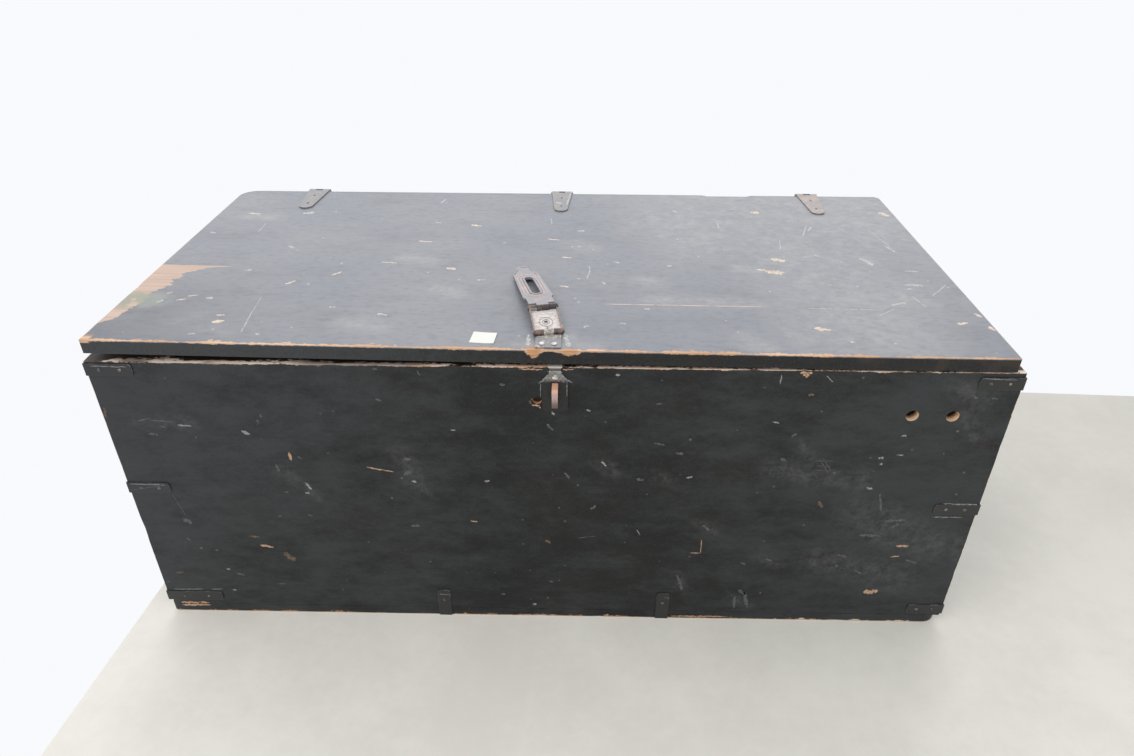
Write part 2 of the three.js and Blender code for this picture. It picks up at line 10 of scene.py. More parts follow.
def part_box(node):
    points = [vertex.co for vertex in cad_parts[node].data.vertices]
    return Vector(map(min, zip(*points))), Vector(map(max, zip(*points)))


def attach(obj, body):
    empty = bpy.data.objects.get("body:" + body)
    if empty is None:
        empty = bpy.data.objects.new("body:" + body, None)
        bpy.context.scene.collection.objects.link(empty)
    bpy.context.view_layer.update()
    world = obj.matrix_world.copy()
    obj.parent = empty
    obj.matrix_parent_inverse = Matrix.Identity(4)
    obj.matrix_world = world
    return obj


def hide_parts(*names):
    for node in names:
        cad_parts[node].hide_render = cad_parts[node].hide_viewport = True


# A worn black plank chest. Metres, X along the front, Y to the back, Z up.

print("loading the frame")
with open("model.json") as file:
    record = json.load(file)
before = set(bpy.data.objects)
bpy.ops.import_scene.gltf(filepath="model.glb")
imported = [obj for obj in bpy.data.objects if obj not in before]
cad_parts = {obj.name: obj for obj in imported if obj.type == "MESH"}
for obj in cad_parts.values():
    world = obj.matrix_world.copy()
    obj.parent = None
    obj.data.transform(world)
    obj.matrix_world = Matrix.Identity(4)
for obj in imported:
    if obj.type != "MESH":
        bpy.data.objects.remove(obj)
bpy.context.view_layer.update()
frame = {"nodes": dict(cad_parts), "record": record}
cadNodes = frame["nodes"]
mm = 0.001

frontLow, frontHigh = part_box("front_board")
boxShape = {
    "right": frontHigh.x,
    "front": frontLow.y,
    "rear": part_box("rear_board")[1].y,
    "rim": frontHigh.z,
    "board": 15 * mm,
}
plankLow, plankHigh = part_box("lid_front_plank")
lidShape = {
    "left": plankLow.x,
    "right": plankHigh.x,
    "front": plankLow.y,
    "rear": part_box("lid_rear_plank")[1].y,
    "seam": plankHigh.y,
    "under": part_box("lid_rear_plank")[0].z,
    "board": 15 * mm,
    "rise": 8.5 * mm,  # the front left corner is warped up this much
    "power": 1.4,
    "top": 0.366,  # level on which what is seen on the lid is placed
}


def addObject(name, data):
    made = bpy.data.objects.new(name, data)
    bpy.context.scene.collection.objects.link(made)
    return made


# The camera, and the line of sight through a pixel of the photograph

cameraView = {
    "place": Vector((0.0237, -0.8823, 0.7549)),
    "yaw": -0.792,
    "pitch": 32.311,
    "roll": 0.313,
    "focal": 807.3,  # pixels
    "wide": 1134,
    "high": 756,
    "sensor": 36,
    "clip": (0.05, 50),
}


def cameraAxes():
    yaw, pitch, roll = (math.radians(cameraView[name]) for name in ("yaw", "pitch", "roll"))
    forward = Vector((math.sin(yaw) * math.cos(pitch), math.cos(yaw) * math.cos(pitch), -math.sin(pitch)))
    level = Vector((math.cos(yaw), -math.sin(yaw), 0))
    steep = level.cross(forward)
    sideways = level * math.cos(roll) + steep * math.sin(roll)
    upwards = steep * math.cos(roll) - level * math.sin(roll)
    return sideways, upwards, forward


viewRight, viewUp, viewAhead = cameraAxes()


def makeCamera():
    data = bpy.data.cameras.new("camera")
    data.sensor_width = cameraView["sensor"]
    data.lens = cameraView["focal"] / cameraView["wide"] * cameraView["sensor"]
    data.clip_start, data.clip_end = cameraView["clip"]
    camera = addObject("camera", data)
    turn = Matrix((viewRight, viewUp, -viewAhead)).transposed().to_4x4()
    camera.matrix_world = Matrix.Translation(cameraView["place"]) @ turn
    bpy.context.scene.camera = camera


def sightLine(u, v):
    right = (u - cameraView["wide"] / 2) / cameraView["focal"]
    down = (v - cameraView["high"] / 2) / cameraView["focal"]
    return (viewAhead + viewRight * right - viewUp * down).normalized()


def onPlane(u, v, axis, level):
    # The place that a pixel shows on an upright (1) or a level (2) plane
    ray, eye = sightLine(u, v), cameraView["place"]
    return eye + ray * ((level - eye[axis]) / ray[axis])


def frontPlace(u, v):
    return onPlane(u, v, 1, boxShape["front"])


def lidPlace(u, v):
    return onPlane(u, v, 2, lidShape["top"])


print("camera")
makeCamera()


# Node wiring

class Wire:
    # A node's output, which can be added, scaled and divided like a number
    def __init__(self, socket):
        self.socket = socket

    def beside(self, output):
        return Wire(self.socket.node.outputs[output])

    def __add__(self, other):
        return calc("ADD", self, other)

    def __sub__(self, other):
        return calc("SUBTRACT", self, other)

    def __rsub__(self, other):
        return calc("SUBTRACT", other, self)

    def __mul__(self, other):
        return stretched(self, other) if isinstance(other, tuple) else calc("MULTIPLY", self, other)

    def __truediv__(self, other):
        return calc("DIVIDE", self, other)

    def __abs__(self):
        return calc("ABSOLUTE", self)


def feed(socket, value):
    if isinstance(value, Wire):
        socket.id_data.links.new(value.socket, socket)
    elif value is not None:
        socket.default_value = (*value, 1) if socket.type == "RGBA" else value


def addNode(kind, inputs, output=0, tree=None, **settings):
    # The tree is that of the wires that feed the node
    tree = tree or next(value.socket.id_data for value in inputs.values() if isinstance(value, Wire))
    node = tree.nodes.new(kind)
    for name, setting in settings.items():
        setattr(node, name, setting)
    for key, value in inputs.items():
        feed(node.inputs[key], value)
    return Wire(node.outputs[output])


def calc(operation, *values):
    return addNode("ShaderNodeMath", dict(enumerate(values)), operation=operation)


def stretched(vector, factors):
    return addNode("ShaderNodeVectorMath", {0: vector, 1: factors}, "Vector", operation="MULTIPLY")


def joined(*values):
    return addNode("ShaderNodeCombineXYZ", dict(enumerate(values)))


def highest(*values):
    total = values[0]
    for value in values[1:]:
        total = calc("MAXIMUM", total, value)
    return total


def middleOf(a, b, c):
    low, high = calc("MINIMUM", a, b), calc("MAXIMUM", a, b)
    return calc("MAXIMUM", low, calc("MINIMUM", high, c))


def grow(value, start, end, low=0, high=1):
    inputs = {"Value": value, "From Min": start, "From Max": end, "To Min": low, "To Max": high}
    return addNode("ShaderNodeMapRange", inputs, "Result", interpolation_type="SMOOTHSTEP")


def fade(value, start, end):
    return grow(value, start, end, 1, 0)


def beyond(value, start, end):
    # Grows over a stretch given in millimetres, where within fades over it
    return grow(value, start * mm, end * mm)


def within(value, start, end):
    return fade(value, start * mm, end * mm)


def plainMix(share, low, high):
    return grow(share, 0, 1, low, high)


def mixed(share, below, above):
    return addNode("ShaderNodeMix", {0: share, 6: below, 7: above}, 2, data_type="RGBA")


def layered(look, colour, *layers):
    # Tone over tone, each with the share of it that covers, and named in the look or wired
    colour = look.get(colour, colour)
    for share, tone in layers:
        colour = mixed(share, colour, look.get(tone, tone))
    return colour


def cloud(vector, size, detail, roughness, distortion=0):
    inputs = {"Vector": vector, "Scale": size, "Detail": detail, "Roughness": roughness,
              "Distortion": distortion}
    return addNode("ShaderNodeTexNoise", inputs, "Fac")


def profileCurve(value, points):
    result = addNode("ShaderNodeFloatCurve", {"Value": value})
    mapping = result.socket.node.mapping
    curve = mapping.curves[0]
    for i, place in enumerate(points):
        if i < 2:
            curve.points[i].location = place
        else:
            curve.points.new(*place)
    for point in curve.points:
        point.handle_type = "VECTOR"
    mapping.update()
    return result


def bumped(height, strength, distance, below=None):
    inputs = {"Strength": strength, "Distance": distance, "Height": height, "Normal": below}
    return addNode("ShaderNodeBump", inputs, "Normal")


def newMaterial(name):
    # A material, its object coordinates and their three axes
    material = bpy.data.materials.new(name)
    material.use_nodes = True
    material.node_tree.nodes.clear()
    place = addNode("ShaderNodeTexCoord", {}, "Object", material.node_tree)
    x = addNode("ShaderNodeSeparateXYZ", {0: place})
    return material, place, (x, x.beside(1), x.beside(2))


def writtenDust(material):
    return addNode("ShaderNodeAttribute", {}, "Fac", material.node_tree, attribute_name="dust")


def surface(material, colour, roughness, normal=None, **others):
    inputs = {"Base Color": colour, "Roughness": roughness, "Normal": normal, **others}
    shader = addNode("ShaderNodeBsdfPrincipled", inputs)
    feed(material.node_tree.nodes.new("ShaderNodeOutputMaterial").inputs["Surface"], shader)
    return material


# Paint and wood

woodTones = {
    "bare": ((0.66, 0.38, 0.21), (0.42, 0.21, 0.1)),
    "drilled": ((0.92, 0.71, 0.5), (0.74, 0.48, 0.3)),
    "rubbed": ((0.72, 0.49, 0.345), (0.49, 0.28, 0.155)),
    "peeled": ((0.585, 0.45, 0.37), (0.49, 0.365, 0.29)),
    "cream": ((0.66, 0.53, 0.45), (0.27, 0.205, 0.165)),
    "inside": ((0.36, 0.235, 0.135), (0.2, 0.12, 0.07)),
}
paintLook = {
    "black": (0.0092, 0.01, 0.0106),
    "brown": (0.0138, 0.0128, 0.0118),
    "grey": (0.037, 0.0405, 0.043),
    "speck": (0.3, 0.31, 0.31),
    "dust": (0.1, 0.102, 0.098),
    # grime with painted shade, on the boards' top faces under the lid and deep in the holes
    "grimeAndShade": (0.03, 0.022, 0.016),
    "litRim": (0.9, 0.76, 0.65),
    "warmRim": (0.66, 0.36, 0.2),
    "dullRim": (0.17, 0.155, 0.145),
    "rough": 0.46,
    "woodRough": 0.8,
    # along the box, from its left end to its right: how much painted sheen greys the paint
    "paintedSheen": [(0, 0.8), (0.2, 0.62), (0.4, 0.25), (0.48, 0.05), (0.6, 0.16), (0.75, 0.42), (0.88, 0.7),
               (1, 0.5)],
    # and how far down the front rim is bare, as a share of rimDepth
    "rimReach": [(0, 0.06), (0.055, 0.08), (0.08, 0.26), (0.12, 0.34), (0.19, 0.3), (0.21, 0.26),
                 (0.25, 0.28), (0.3, 0.26), (0.43, 0.2), (0.47, 0.3), (0.53, 0.2), (0.62, 0.22), (0.8, 0.16),
                 (1, 0.16)],
    "rimDepth": 6 * mm,
}
lidLook = {
    # the light grey of the lid's top is dust with painted sheen
    "paint": (0.204, 0.212, 0.24),
    "deep": (0.105, 0.11, 0.127),
    "olive": (0.115, 0.122, 0.122),
    "dust": (0.238, 0.244, 0.264),
    "speck": (0.55, 0.55, 0.52),
    "haze": (0.38, 0.38, 0.365),
    "seam": (0.6, 0.52, 0.46),
    "grit": (0.085, 0.08, 0.074),
    "pit": (0.0045, 0.0045, 0.0045),
    "stain": (0.048, 0.034, 0.024),
    "green": (0.31, 0.335, 0.27),
    "patchReach": 0.1,
    "patchDepth": 0.2,
    # how far the bare patch reaches from the left end, front to back
    "patch": [(0, 0), (0.17, 0), (0.22, 0.1), (0.34, 0.17), (0.43, 0.22), (0.55, 0.24), (0.66, 0.3),
              (0.76, 0.35), (0.835, 0.42), (0.872, 0.58), (0.894, 0.86), (0.9, 0), (1, 0)],
    # depth of the torn chips below the hasp's plate, as a share of tornDepth
    "torn": [(0, 0), (0.473, 0), (0.4826, 0.95), (0.4915, 0.08), (0.501, 0.08), (0.5174, 0.66),
             (0.532, 0), (1, 0)],
    "tornDepth": 10 * mm,
    "crack": ((598, 299), (772, 304)),  # ends of the open seam in the photograph
    "mould": (141, 304),
    "mouldSize": (32 * mm, 20 * mm),
}


def woodColour(place, tones):
    tones = woodTones.get(tones, tones)
    fibres = cloud(place * (1.6, 60, 60), 6, 4, 0.6, 0.4)
    rings = cloud(place * (0.8, 14, 14), 5, 2, 0.5, 1.2)
    return mixed(grow(fibres * 0.6 + rings * 0.4, 0.36, 0.62), tones[1], tones[0])


def specks(place, size, share, radius):
    # Small dots in a few cells of a lattice
    distance = addNode("ShaderNodeTexVoronoi", {"Vector": place, "Scale": size}, "Distance")
    draw = addNode("ShaderNodeSeparateColor", {0: distance.beside("Color")})
    return calc("LESS_THAN", draw, share) * fade(distance / (draw.beside(1) * radius + 0.02), 0.7, 1.2)


def grainBump(place, strength):
    fibres = cloud(place * (2.5, 70, 70), 7, 4, 0.65)
    waves = cloud(place * (0.7, 6, 6), 6, 2, 0.5)
    return bumped(fibres * 0.5 + waves, strength, 0.5 * mm)


def paintedBoards(name):
    material, place, (x, y, z) = newMaterial(name)
    look = paintLook

    # Mottled black with a brown cast and a grey cast, the grey partly painted sheen that grows towards both
    # ends, dust and specks
    broad = cloud(place, 9, 4, 0.6)
    fine = cloud(place, 160, 5, 0.7)
    streaks = cloud(place * (1, 1, 2.2), 16, 6, 0.75)
    grit = cloud(place, 640, 3, 0.8)
    # painted sheen, greyer towards both ends of the box
    sheenShare = profileCurve(x + 0.5, look["paintedSheen"])
    dust = writtenDust(material) * grow(cloud(place, 130, 4, 0.7), 0.32, 0.75)
    dots = highest(specks(place, 150, 0.05, 0.2), specks(place, 60, 0.03, 0.08))
    colour = layered(
        look, "black",
        (grow(broad, 0.4, 0.7), "brown"),
        (grow(streaks + sheenShare * 0.32, 0.42, 0.85), "grey"),
        (grow(fine, 0.5, 0.85) * (sheenShare * 0.5 + 0.35), "grey"),
        (grow(grit, 0.5, 0.74, 0, 0.55), "grey"),
        (grow(grit, 0.28, 0.48, 0.5, 0), "black"),
        (dust * 0.7, "dust"),
        (dots * grow(broad, 0.4, 0.7, 0.1, 0.4), "speck"))

    # Bare wood along the arrises and the foot
    offX = boxShape["right"] - abs(x)
    offY = boxShape["rear"] - abs(y)
    offRim = boxShape["rim"] - z
    offEnds = middleOf(offX, offY, calc("MINIMUM", offRim, z))
    wear = cloud(place * (0.5, 1, 1), 60, 5, 0.7)
    corner = within(offX, 3, 9) * within(offY, 3, 9)
    foot = within(z, 3, 9) * within(offY, 3, 9)
    reach = grow(wear, 0.42, 0.76, 0.2 * mm, 2.2 * mm)
    reach = reach * grow(cloud(place, 300, 3, 0.7), 0.35, 0.62, 0.45, 1.3)
    edge = fade(offEnds / (reach * (foot + 1) * (1 - corner * 0.6)), 0.7, 1.3)

    # The front rim, cream where it is bare, with painted light on its top face, and warm or dull in places
    ragged = cloud(place * (0.6, 1, 1), 330, 4, 0.7)
    rimWear = profileCurve(x + 0.5, look["rimReach"]) * look["rimDepth"]
    rimWear = rimWear * grow(wear, 0.3, 0.7, 0.45, 1.5) * grow(ragged, 0.36, 0.64, 0.6, 1.35)
    fromFace = y - boxShape["front"]
    atFace = within(fromFace, 17, 18) * within(offRim, 14, 15)
    rim = fade((offRim + 0.6 * mm) / rimWear, 0.75, 1.15) * atFace * fade(fromFace / rimWear, 2.2, 4.2)
    warm = highest(grow(cloud(place * (1, 0.2, 0.2), 34, 3, 0.6), 0.48, 0.66),
                   grow(x, -0.06, -0.03) * fade(x, 0.005, 0.02))
    dulled = grow(x, -0.26, -0.235) * fade(x, -0.14, -0.11)
    cream = layered(
        look, woodColour(place, "cream"),
        (within(offRim, 0.1, 0.5), "litRim"),
        (warm * 0.6, "warmRim"),
        (dulled * 0.7, "dullRim"))

    # Bare wood inside, underneath and through the holes
    innerX = boxShape["right"] - boxShape["board"]
    innerY = boxShape["rear"] - boxShape["board"]
    inside = (fade(abs(x), innerX - 0.2 * mm, innerX + 0.4 * mm)
              * fade(abs(y), innerY - 0.2 * mm, innerY + 0.4 * mm))
    # the end boards' grain runs from front to back
    endGrain = grow(abs(x), innerX - 0.4 * mm, innerX - 0.1 * mm)
    innerPlace = addNode("ShaderNodeMix", {0: endGrain, 4: place, 5: joined(y, x, z)}, 1, data_type="VECTOR")
    under = within(z, 0.4, 1.2)
    holes = (beyond(offY, 0.5, 1.1) * within(offY, 13.8, 14.6) * beyond(offX, 1, 2)
             * beyond(offRim, 20, 21) * beyond(z, 60, 70))
    # the torn hole beside the staple is darker than the two drilled ones
    drilled = grow(x, 0.2, 0.21)
    fresh = tuple(mixed(drilled, *pair) for pair in zip(woodTones["bare"], woodTones["drilled"]))
    # painted shade deeper in the holes, starting nearer the mouth of the torn one
    holeShade = holes * grow(offY, plainMix(drilled, 3 * mm, 5 * mm), plainMix(drilled, 6.5 * mm, 12 * mm))
    colour = layered(
        look, colour,
        # painted shade, with grime, on the boards' top faces
        (beyond(offRim, 1.2, 0.5), "grimeAndShade"),
        (highest(edge * 0.85, holes), woodColour(place, fresh)),
        (holeShade, "grimeAndShade"),
        (rim * 0.92, cream),
        (highest(inside, under), woodColour(innerPlace, "inside")))

    anyWood = highest(edge, holes, rim, inside, under)
    rough = plainMix(anyWood, look["rough"], look["woodRough"]) + fine * 0.12
    normal = bumped(fine, 0.35, 0.25 * mm, grainBump(place, 0.16))
    return surface(material, colour, rough, normal, IOR=1.33)


def lidBoards(name):
    material, place, (x, y, z) = newMaterial(name)
    look = lidLook

    # Depth below the lid's top, with the warp taken out
    fromLeft, fromRight = x - lidShape["left"], lidShape["right"] - x
    fromFront = y - lidShape["front"]
    across = highest(fromRight / (lidShape["right"] - lidShape["left"]), 0)
    across = calc("POWER", across, lidShape["power"])
    back = (lidShape["rear"] - y) / (lidShape["rear"] - lidShape["front"])
    level = z - lidShape["under"] - across * back * lidShape["rise"]
    fromTop = lidShape["board"] - level
    top = within(fromTop, 0.4, 2)

    # Dusty on top, the light grey partly painted sheen, and darker in the front left corner
    broad = cloud(place, 5, 3, 0.55)
    fine = cloud(place * (1, 2, 1), 90, 5, 0.7)
    strokes = cloud(place * (0.6, 9, 1), 30, 4, 0.7)
    smears = cloud(place * (1, 2.6, 1), 11, 7, 0.72)
    dust = writtenDust(material) * grow(cloud(place, 100, 4, 0.7), 0.25, 0.8, 0.2, 1)
    shade = within(fromLeft, 0, 220) * within(fromFront, 40, 240)
    dots = highest(specks(place, 120, 0.05, 0.18), specks(place, 48, 0.06, 0.09))
    dustAndSheen = layered(
        look, "paint",
        (grow(broad, 0.35, 0.7), "dust"),
        (grow(fine, 0.45, 0.8) * 0.5, "deep"),
        (grow(smears, 0.46, 0.72) * 0.35, "olive"),
        (grow(strokes, 0.5, 0.8) * 0.45, "dust"),
        (dust * 0.7, "haze"),
        (shade * 0.5, "deep"),
        (dots * 0.5, "speck"))

    # Black edges, the front one rough and stained brown towards the right
    grit = cloud(place, 380, 4, 0.75)
    stain = grow(x, 0.05, 0.3) * grow(cloud(place, 22, 4, 0.65), 0.42, 0.62)
    black = layered(
        look, paintLook["black"],
        (grow(fine + fade(x, -0.4, 0.1), 0.42, 1.35), paintLook["grey"]),
        (grow(grit, 0.52, 0.74, 0, 0.5), "grit"),
        (grow(grit, 0.3, 0.46, 0.75, 0), "pit"),
        (stain * 0.6, "stain"))

    # Bare wood: the patch at the left end, the arrises and a stretch of the seam
    fingers = cloud(place * (0.4, 1, 1), 85, 5, 0.7)
    reach = profileCurve(fromFront / look["patchDepth"], look["patch"]) * look["patchReach"]
    reach = reach * grow(fingers, 0.25, 0.75, 0.8, 1.24)
    patch = within(fromLeft - reach, -0.8, 1.2) * within(fromTop, 1.5, 2.5)
    wear = cloud(place * (0.45, 0.45, 1), 70, 5, 0.7)
    strip = (grow(wear, 0.3, 0.72, 1.1 * mm, 6.2 * mm)
             * grow(cloud(place, 14, 2, 0.5), 0.3, 0.55, 0.55, 1)
             * grow(cloud(place * (0.6, 1, 1), 380, 4, 0.7), 0.36, 0.64, 0.5, 1.35)
             * grow(cloud(place * (1, 0.3, 0.3), 42, 3, 0.6), 0.36, 0.48, 0.25, 1))
    torn = profileCurve(x + 0.5, look["torn"]) * look["tornDepth"]
    torn = torn * grow(cloud(place, 240, 4, 0.65), 0.3, 0.7, 0.65, 1.25)
    arris = (fade(fromFront / (strip + torn * 0.5), 0.75, 1.15)
             * fade(fromTop / (strip * 0.35 + torn), 0.75, 1.15))
    ends = calc("MINIMUM", fromLeft, fromRight)
    endWear = fade((ends + fromTop) / grow(wear, 0.5, 0.85, 0.1 * mm, 1.8 * mm), 0.7, 1.2)
    lowWear = fade((fromFront + level) / grow(wear, 0.6, 0.9, 0.05 * mm, 1.8 * mm), 0.7, 1.2)
    tip = within(fromLeft, 7, 11) * within(fromFront, 7, 12) * within(fromTop, 3, 4)
    start, end = (lidPlace(u, v).x for u, v in look["crack"])
    crack = (within(abs(y - lidShape["seam"]), 0.5, 1.2) * grow(x, start, start + 20 * mm)
             * fade(x, end - 30 * mm, end + 10 * mm) * top * grow(wear, 0.3, 0.5))
    bare = highest(patch, arris, endWear, lowWear, tip, crack)
    under = within(level, 0.2, 0.8) * beyond(fromFront, 1.4, 2.2)

    # Green mould on the patch and on the paint round it
    spot = lidPlace(*look["mould"])
    offX = (x - spot.x) / look["mouldSize"][0]
    offY = (y - spot.y) / look["mouldSize"][1]
    mould = fade(offX * offX + offY * offY, 0.3, 1.7) * grow(cloud(place, 60, 3, 0.6), 0.32, 0.52)
    wood = layered(
        look, woodColour(place, "rubbed"),
        (beyond(torn, 2, 5), woodColour(place, "bare")),
        (crack * 0.8, "seam"),
        (patch, woodColour(place, "peeled")),
        (mould * 0.85, "green"))
    colour = layered(
        look, black,
        (top, dustAndSheen),
        (mould * top * 0.5, "green"),
        (bare, wood),
        (under, woodColour(place, "inside")))

    rough = plainMix(highest(bare, under), 0.4, 0.75) + fine * 0.15
    normal = bumped(fine, 0.15, 0.2 * mm, grainBump(place, 0.2))
    normal = bumped(grit * (1 - top), 0.9, 2 * mm, normal)
    return surface(material, colour, rough, normal, IOR=1.4)


def flatPaint(name, light, dark, size, roughness):
    # Small marks: one tone broken up by grain
    material, place, axes = newMaterial(name)
    grain = cloud(place * (0.35, 1, 1), size, 4, 0.65)
    colour = mixed(grow(grain, 0.35, 0.65), dark, light)
    return surface(material, colour, roughness, bumped(grain, 0.4, 0.15 * mm))


def battenWood(name):
    # Battens run from front to back, and so does their grain
    material, place, (x, y, z) = newMaterial(name)
    turned = joined(y, x, z)
    return surface(material, woodColour(turned, "inside"), paintLook["woodRough"],
                   grainBump(turned, 0.25))


def ironLook(name, paint, rust, share, metal=0.7):
    # Sheet iron: paint or scale, broken by rust and bare metal
    material, place, axes = newMaterial(name)
    broad = cloud(place, 60, 4, 0.65)
    fine = cloud(place, 420, 4, 0.7)
    bare = grow(broad * 0.6 + fine * 0.4, share - 0.05, share + 0.07)
    colour = mixed(bare, paint, mixed(grow(fine, 0.35, 0.7), *rust))
    normal = bumped(cloud(place, 900, 3, 0.7) + broad, 0.5, 0.2 * mm)
    return surface(material, colour, plainMix(bare, 0.42, 0.55), normal, Metallic=bare * metal)


plateTones = {
    "column": 555,
    "rows": (381, 373.4, 370.6, 367.8),  # pixels in the photograph: neck, shine, fold and tab
    "metal": ((0.12, 0.11, 0.105), (0.3, 0.285, 0.28)),
    "paint": ((0.016, 0.017, 0.018), (0.06, 0.055, 0.05)),
    # shine is a painted highlight on the bend of the neck, fold a band of painted shade under the tab
    "shine": (0.62, 0.58, 0.56),
    "fold": (0.035, 0.028, 0.026),
    "tab": (0.46, 0.45, 0.4),
}
# the staple's tones by height: rust with a painted highlight at the top, painted shade at the foot
stapleTones = {
    "top": 0.3305,
    "rust": (0.7, 0.38, 0.24),
    "rubbed": (0.47, 0.34, 0.32),
    "dark": (0.14, 0.1, 0.08),
}


def plateLook(name):
    # The staple's plate: black paint, rubbed to grey metal over the neck, with a painted highlight and a band
    # of painted shade across the bend of the neck
    material, place, (x, y, z) = newMaterial(name)
    look = plateTones
    fine = cloud(place, 420, 4, 0.7)
    neck, shine, fold, tab = (frontPlace(look["column"], row).z for row in look["rows"])
    metal = layered(
        look, mixed(grow(fine, 0.35, 0.65), *look["metal"]),
        # painted highlight on the bend, then a band of painted shade
        (grow(z, shine, fold) * 0.6, "shine"),
        (grow(z, fold, fold + 0.5 * mm) * 0.85, "fold"),
        (grow(z, tab, tab + 0.6 * mm), "tab"))
    rubbed = grow(z + fine * (5 * mm), neck + 1 * mm, neck + 6 * mm)
    colour = mixed(rubbed, mixed(grow(fine, 0.5, 0.8), *look["paint"]), metal)
    return surface(material, colour, 0.45, bumped(fine, 0.4, 0.2 * mm), IOR=1.38)


def stapleLook(name):
    # Rust orange at the top of the staple, paler down its front and dark at its foot: painted highlight above
    # and painted shade below
    material, place, (x, y, z) = newMaterial(name)
    look = stapleTones
    fine = cloud(place, 420, 4, 0.7)
    shade = (look["top"] - z) * 40 + fine * 0.3
    colour = layered(
        look, "rust",
        (grow(shade, 0.1, 0.42), "rubbed"),
        (grow(shade, 0.42, 0.85), "dark"))
    return surface(material, colour, 0.5, bumped(fine, 0.4, 0.2 * mm))


flatFinishes = {  # light tone, dark tone, size of the grain, roughness
    "cream_chip": ((0.76, 0.66, 0.55), (0.5, 0.4, 0.32), 600, 0.75),
    "bare_wood": ((0.56, 0.36, 0.24), (0.3, 0.17, 0.1), 600, 0.75),
    "pale_scratch": ((0.56, 0.56, 0.54), (0.26, 0.26, 0.255), 900, 0.6),
    "front_speck": ((0.36, 0.38, 0.37), (0.1, 0.11, 0.11), 900, 0.6),
    "dull_scuff": ((0.11, 0.115, 0.112), (0.035, 0.037, 0.037), 900, 0.6),
    # pale worn iron edges, and a painted highlight on the plate's bend
    "iron_edge_wear_and_highlight": ((0.3, 0.3, 0.29), (0.09, 0.085, 0.08), 700, 0.45),
    "brown_stain": ((0.15, 0.105, 0.065), (0.06, 0.045, 0.03), 400, 0.7),
    # dark lines of painted shade along the tongue's tip and shoulders
    "painted_shade_line": ((0.045, 0.04, 0.04), (0.02, 0.018, 0.018), 700, 0.6),
    "dusty_tray": ((0.8, 0.75, 0.72), (0.52, 0.47, 0.44), 500, 0.75),
    # the rings are darker than the tray: dust with painted shade, to show their relief
    "ring_dust_and_shade": ((0.5, 0.46, 0.43), (0.3, 0.27, 0.25), 500, 0.7),
    # nail heads painted near white as a glint
    "nail_painted_glint": ((0.85, 0.83, 0.8), (0.3, 0.28, 0.26), 500, 0.35),
    "label_paper": ((0.767, 0.78, 0.716), (0.735, 0.75, 0.685), 900, 0.75),
}
ironFinishes = {  # paint, two tones of rust, how much paint is left, how metallic the rest is
    "painted_strap_iron": ((0.014, 0.015, 0.0155), ((0.045, 0.036, 0.03), (0.095, 0.082, 0.072)), 0.62),
    "strap_edge": ((0.026, 0.027, 0.028), ((0.1, 0.09, 0.082), (0.24, 0.225, 0.21)), 0.54, 0.2),
    "hinge_leaf_iron": ((0.185, 0.185, 0.194), ((0.25, 0.2, 0.175), (0.36, 0.325, 0.3)), 0.54, 0.3),
    "hinge_leaf_edge": ((0.23, 0.22, 0.21), ((0.3, 0.23, 0.19), (0.48, 0.42, 0.37)), 0.42, 0.2),
    "warm_leaf_iron": ((0.235, 0.21, 0.205), ((0.34, 0.25, 0.21), (0.45, 0.38, 0.34)), 0.52, 0.15),
    "pale_leaf_edge": ((0.42, 0.4, 0.37), ((0.5, 0.42, 0.37), (0.62, 0.57, 0.52)), 0.5, 0.1),
    "hasp_iron": ((0.25, 0.24, 0.255), ((0.3, 0.215, 0.195), (0.48, 0.4, 0.375)), 0.56, 0.3),
    # the tongue's edges: dark with painted shade
    "hasp_edge": ((0.06, 0.055, 0.055), ((0.26, 0.17, 0.14), (0.5, 0.4, 0.36)), 0.57, 0.4),
    "link_edge": ((0.42, 0.39, 0.36), ((0.3, 0.2, 0.16), (0.62, 0.55, 0.5)), 0.55, 0.2),
    "knuckle_iron": ((0.05, 0.042, 0.04), ((0.16, 0.1, 0.08), (0.3, 0.21, 0.18)), 0.55, 0.4),
    "link_flange": ((0.22, 0.165, 0.15), ((0.3, 0.2, 0.17), (0.46, 0.36, 0.32)), 0.5, 0.3),
    "rubbed_rib": ((0.48, 0.42, 0.415), ((0.5, 0.34, 0.3), (0.7, 0.56, 0.51)), 0.5, 0.2),
    "hasp_base_iron": ((0.19, 0.188, 0.195), ((0.34, 0.3, 0.26), (0.62, 0.57, 0.5)), 0.53, 0.1),
    "nail_iron": ((0.035, 0.035, 0.035), ((0.14, 0.12, 0.11), (0.36, 0.34, 0.33)), 0.5),
}

print("materials")
finishes = {name: flatPaint(name, *look) for name, look in flatFinishes.items()}
finishes.update({name: ironLook(name, *look) for name, look in ironFinishes.items()})
for name, look in (
        ("rubbed_staple", stapleLook), ("rubbed_staple_plate", plateLook), ("batten_wood", battenWood),
        ("black_painted_boards", paintedBoards), ("worn_lid_paint", lidBoards)):
    finishes[name] = look(name)


# Boards

surfaces = {"chest": [], "lid": [], "hasp_tongue": []}
boardWear = {
    "arris": 1.3 * mm,
    "seamArris": 0.4 * mm,
    "slice": 10 * mm,
    "sliceFrom": 60 * mm,  # shorter sides aren't sliced
    "wobble": 0.35 * mm,
    "wobbleScale": 45,
    "nick": 1.1 * mm,
    "nickScale": 28,
    "nickFrom": 0.32,
    "dustScale": 60,
}


def mergedCopy(name):
    mesh = bmesh.new()
    mesh.from_mesh(cadNodes[name].data)
    bmesh.ops.remove_doubles(mesh, verts=mesh.verts, dist=0.002 * mm)
    return mesh


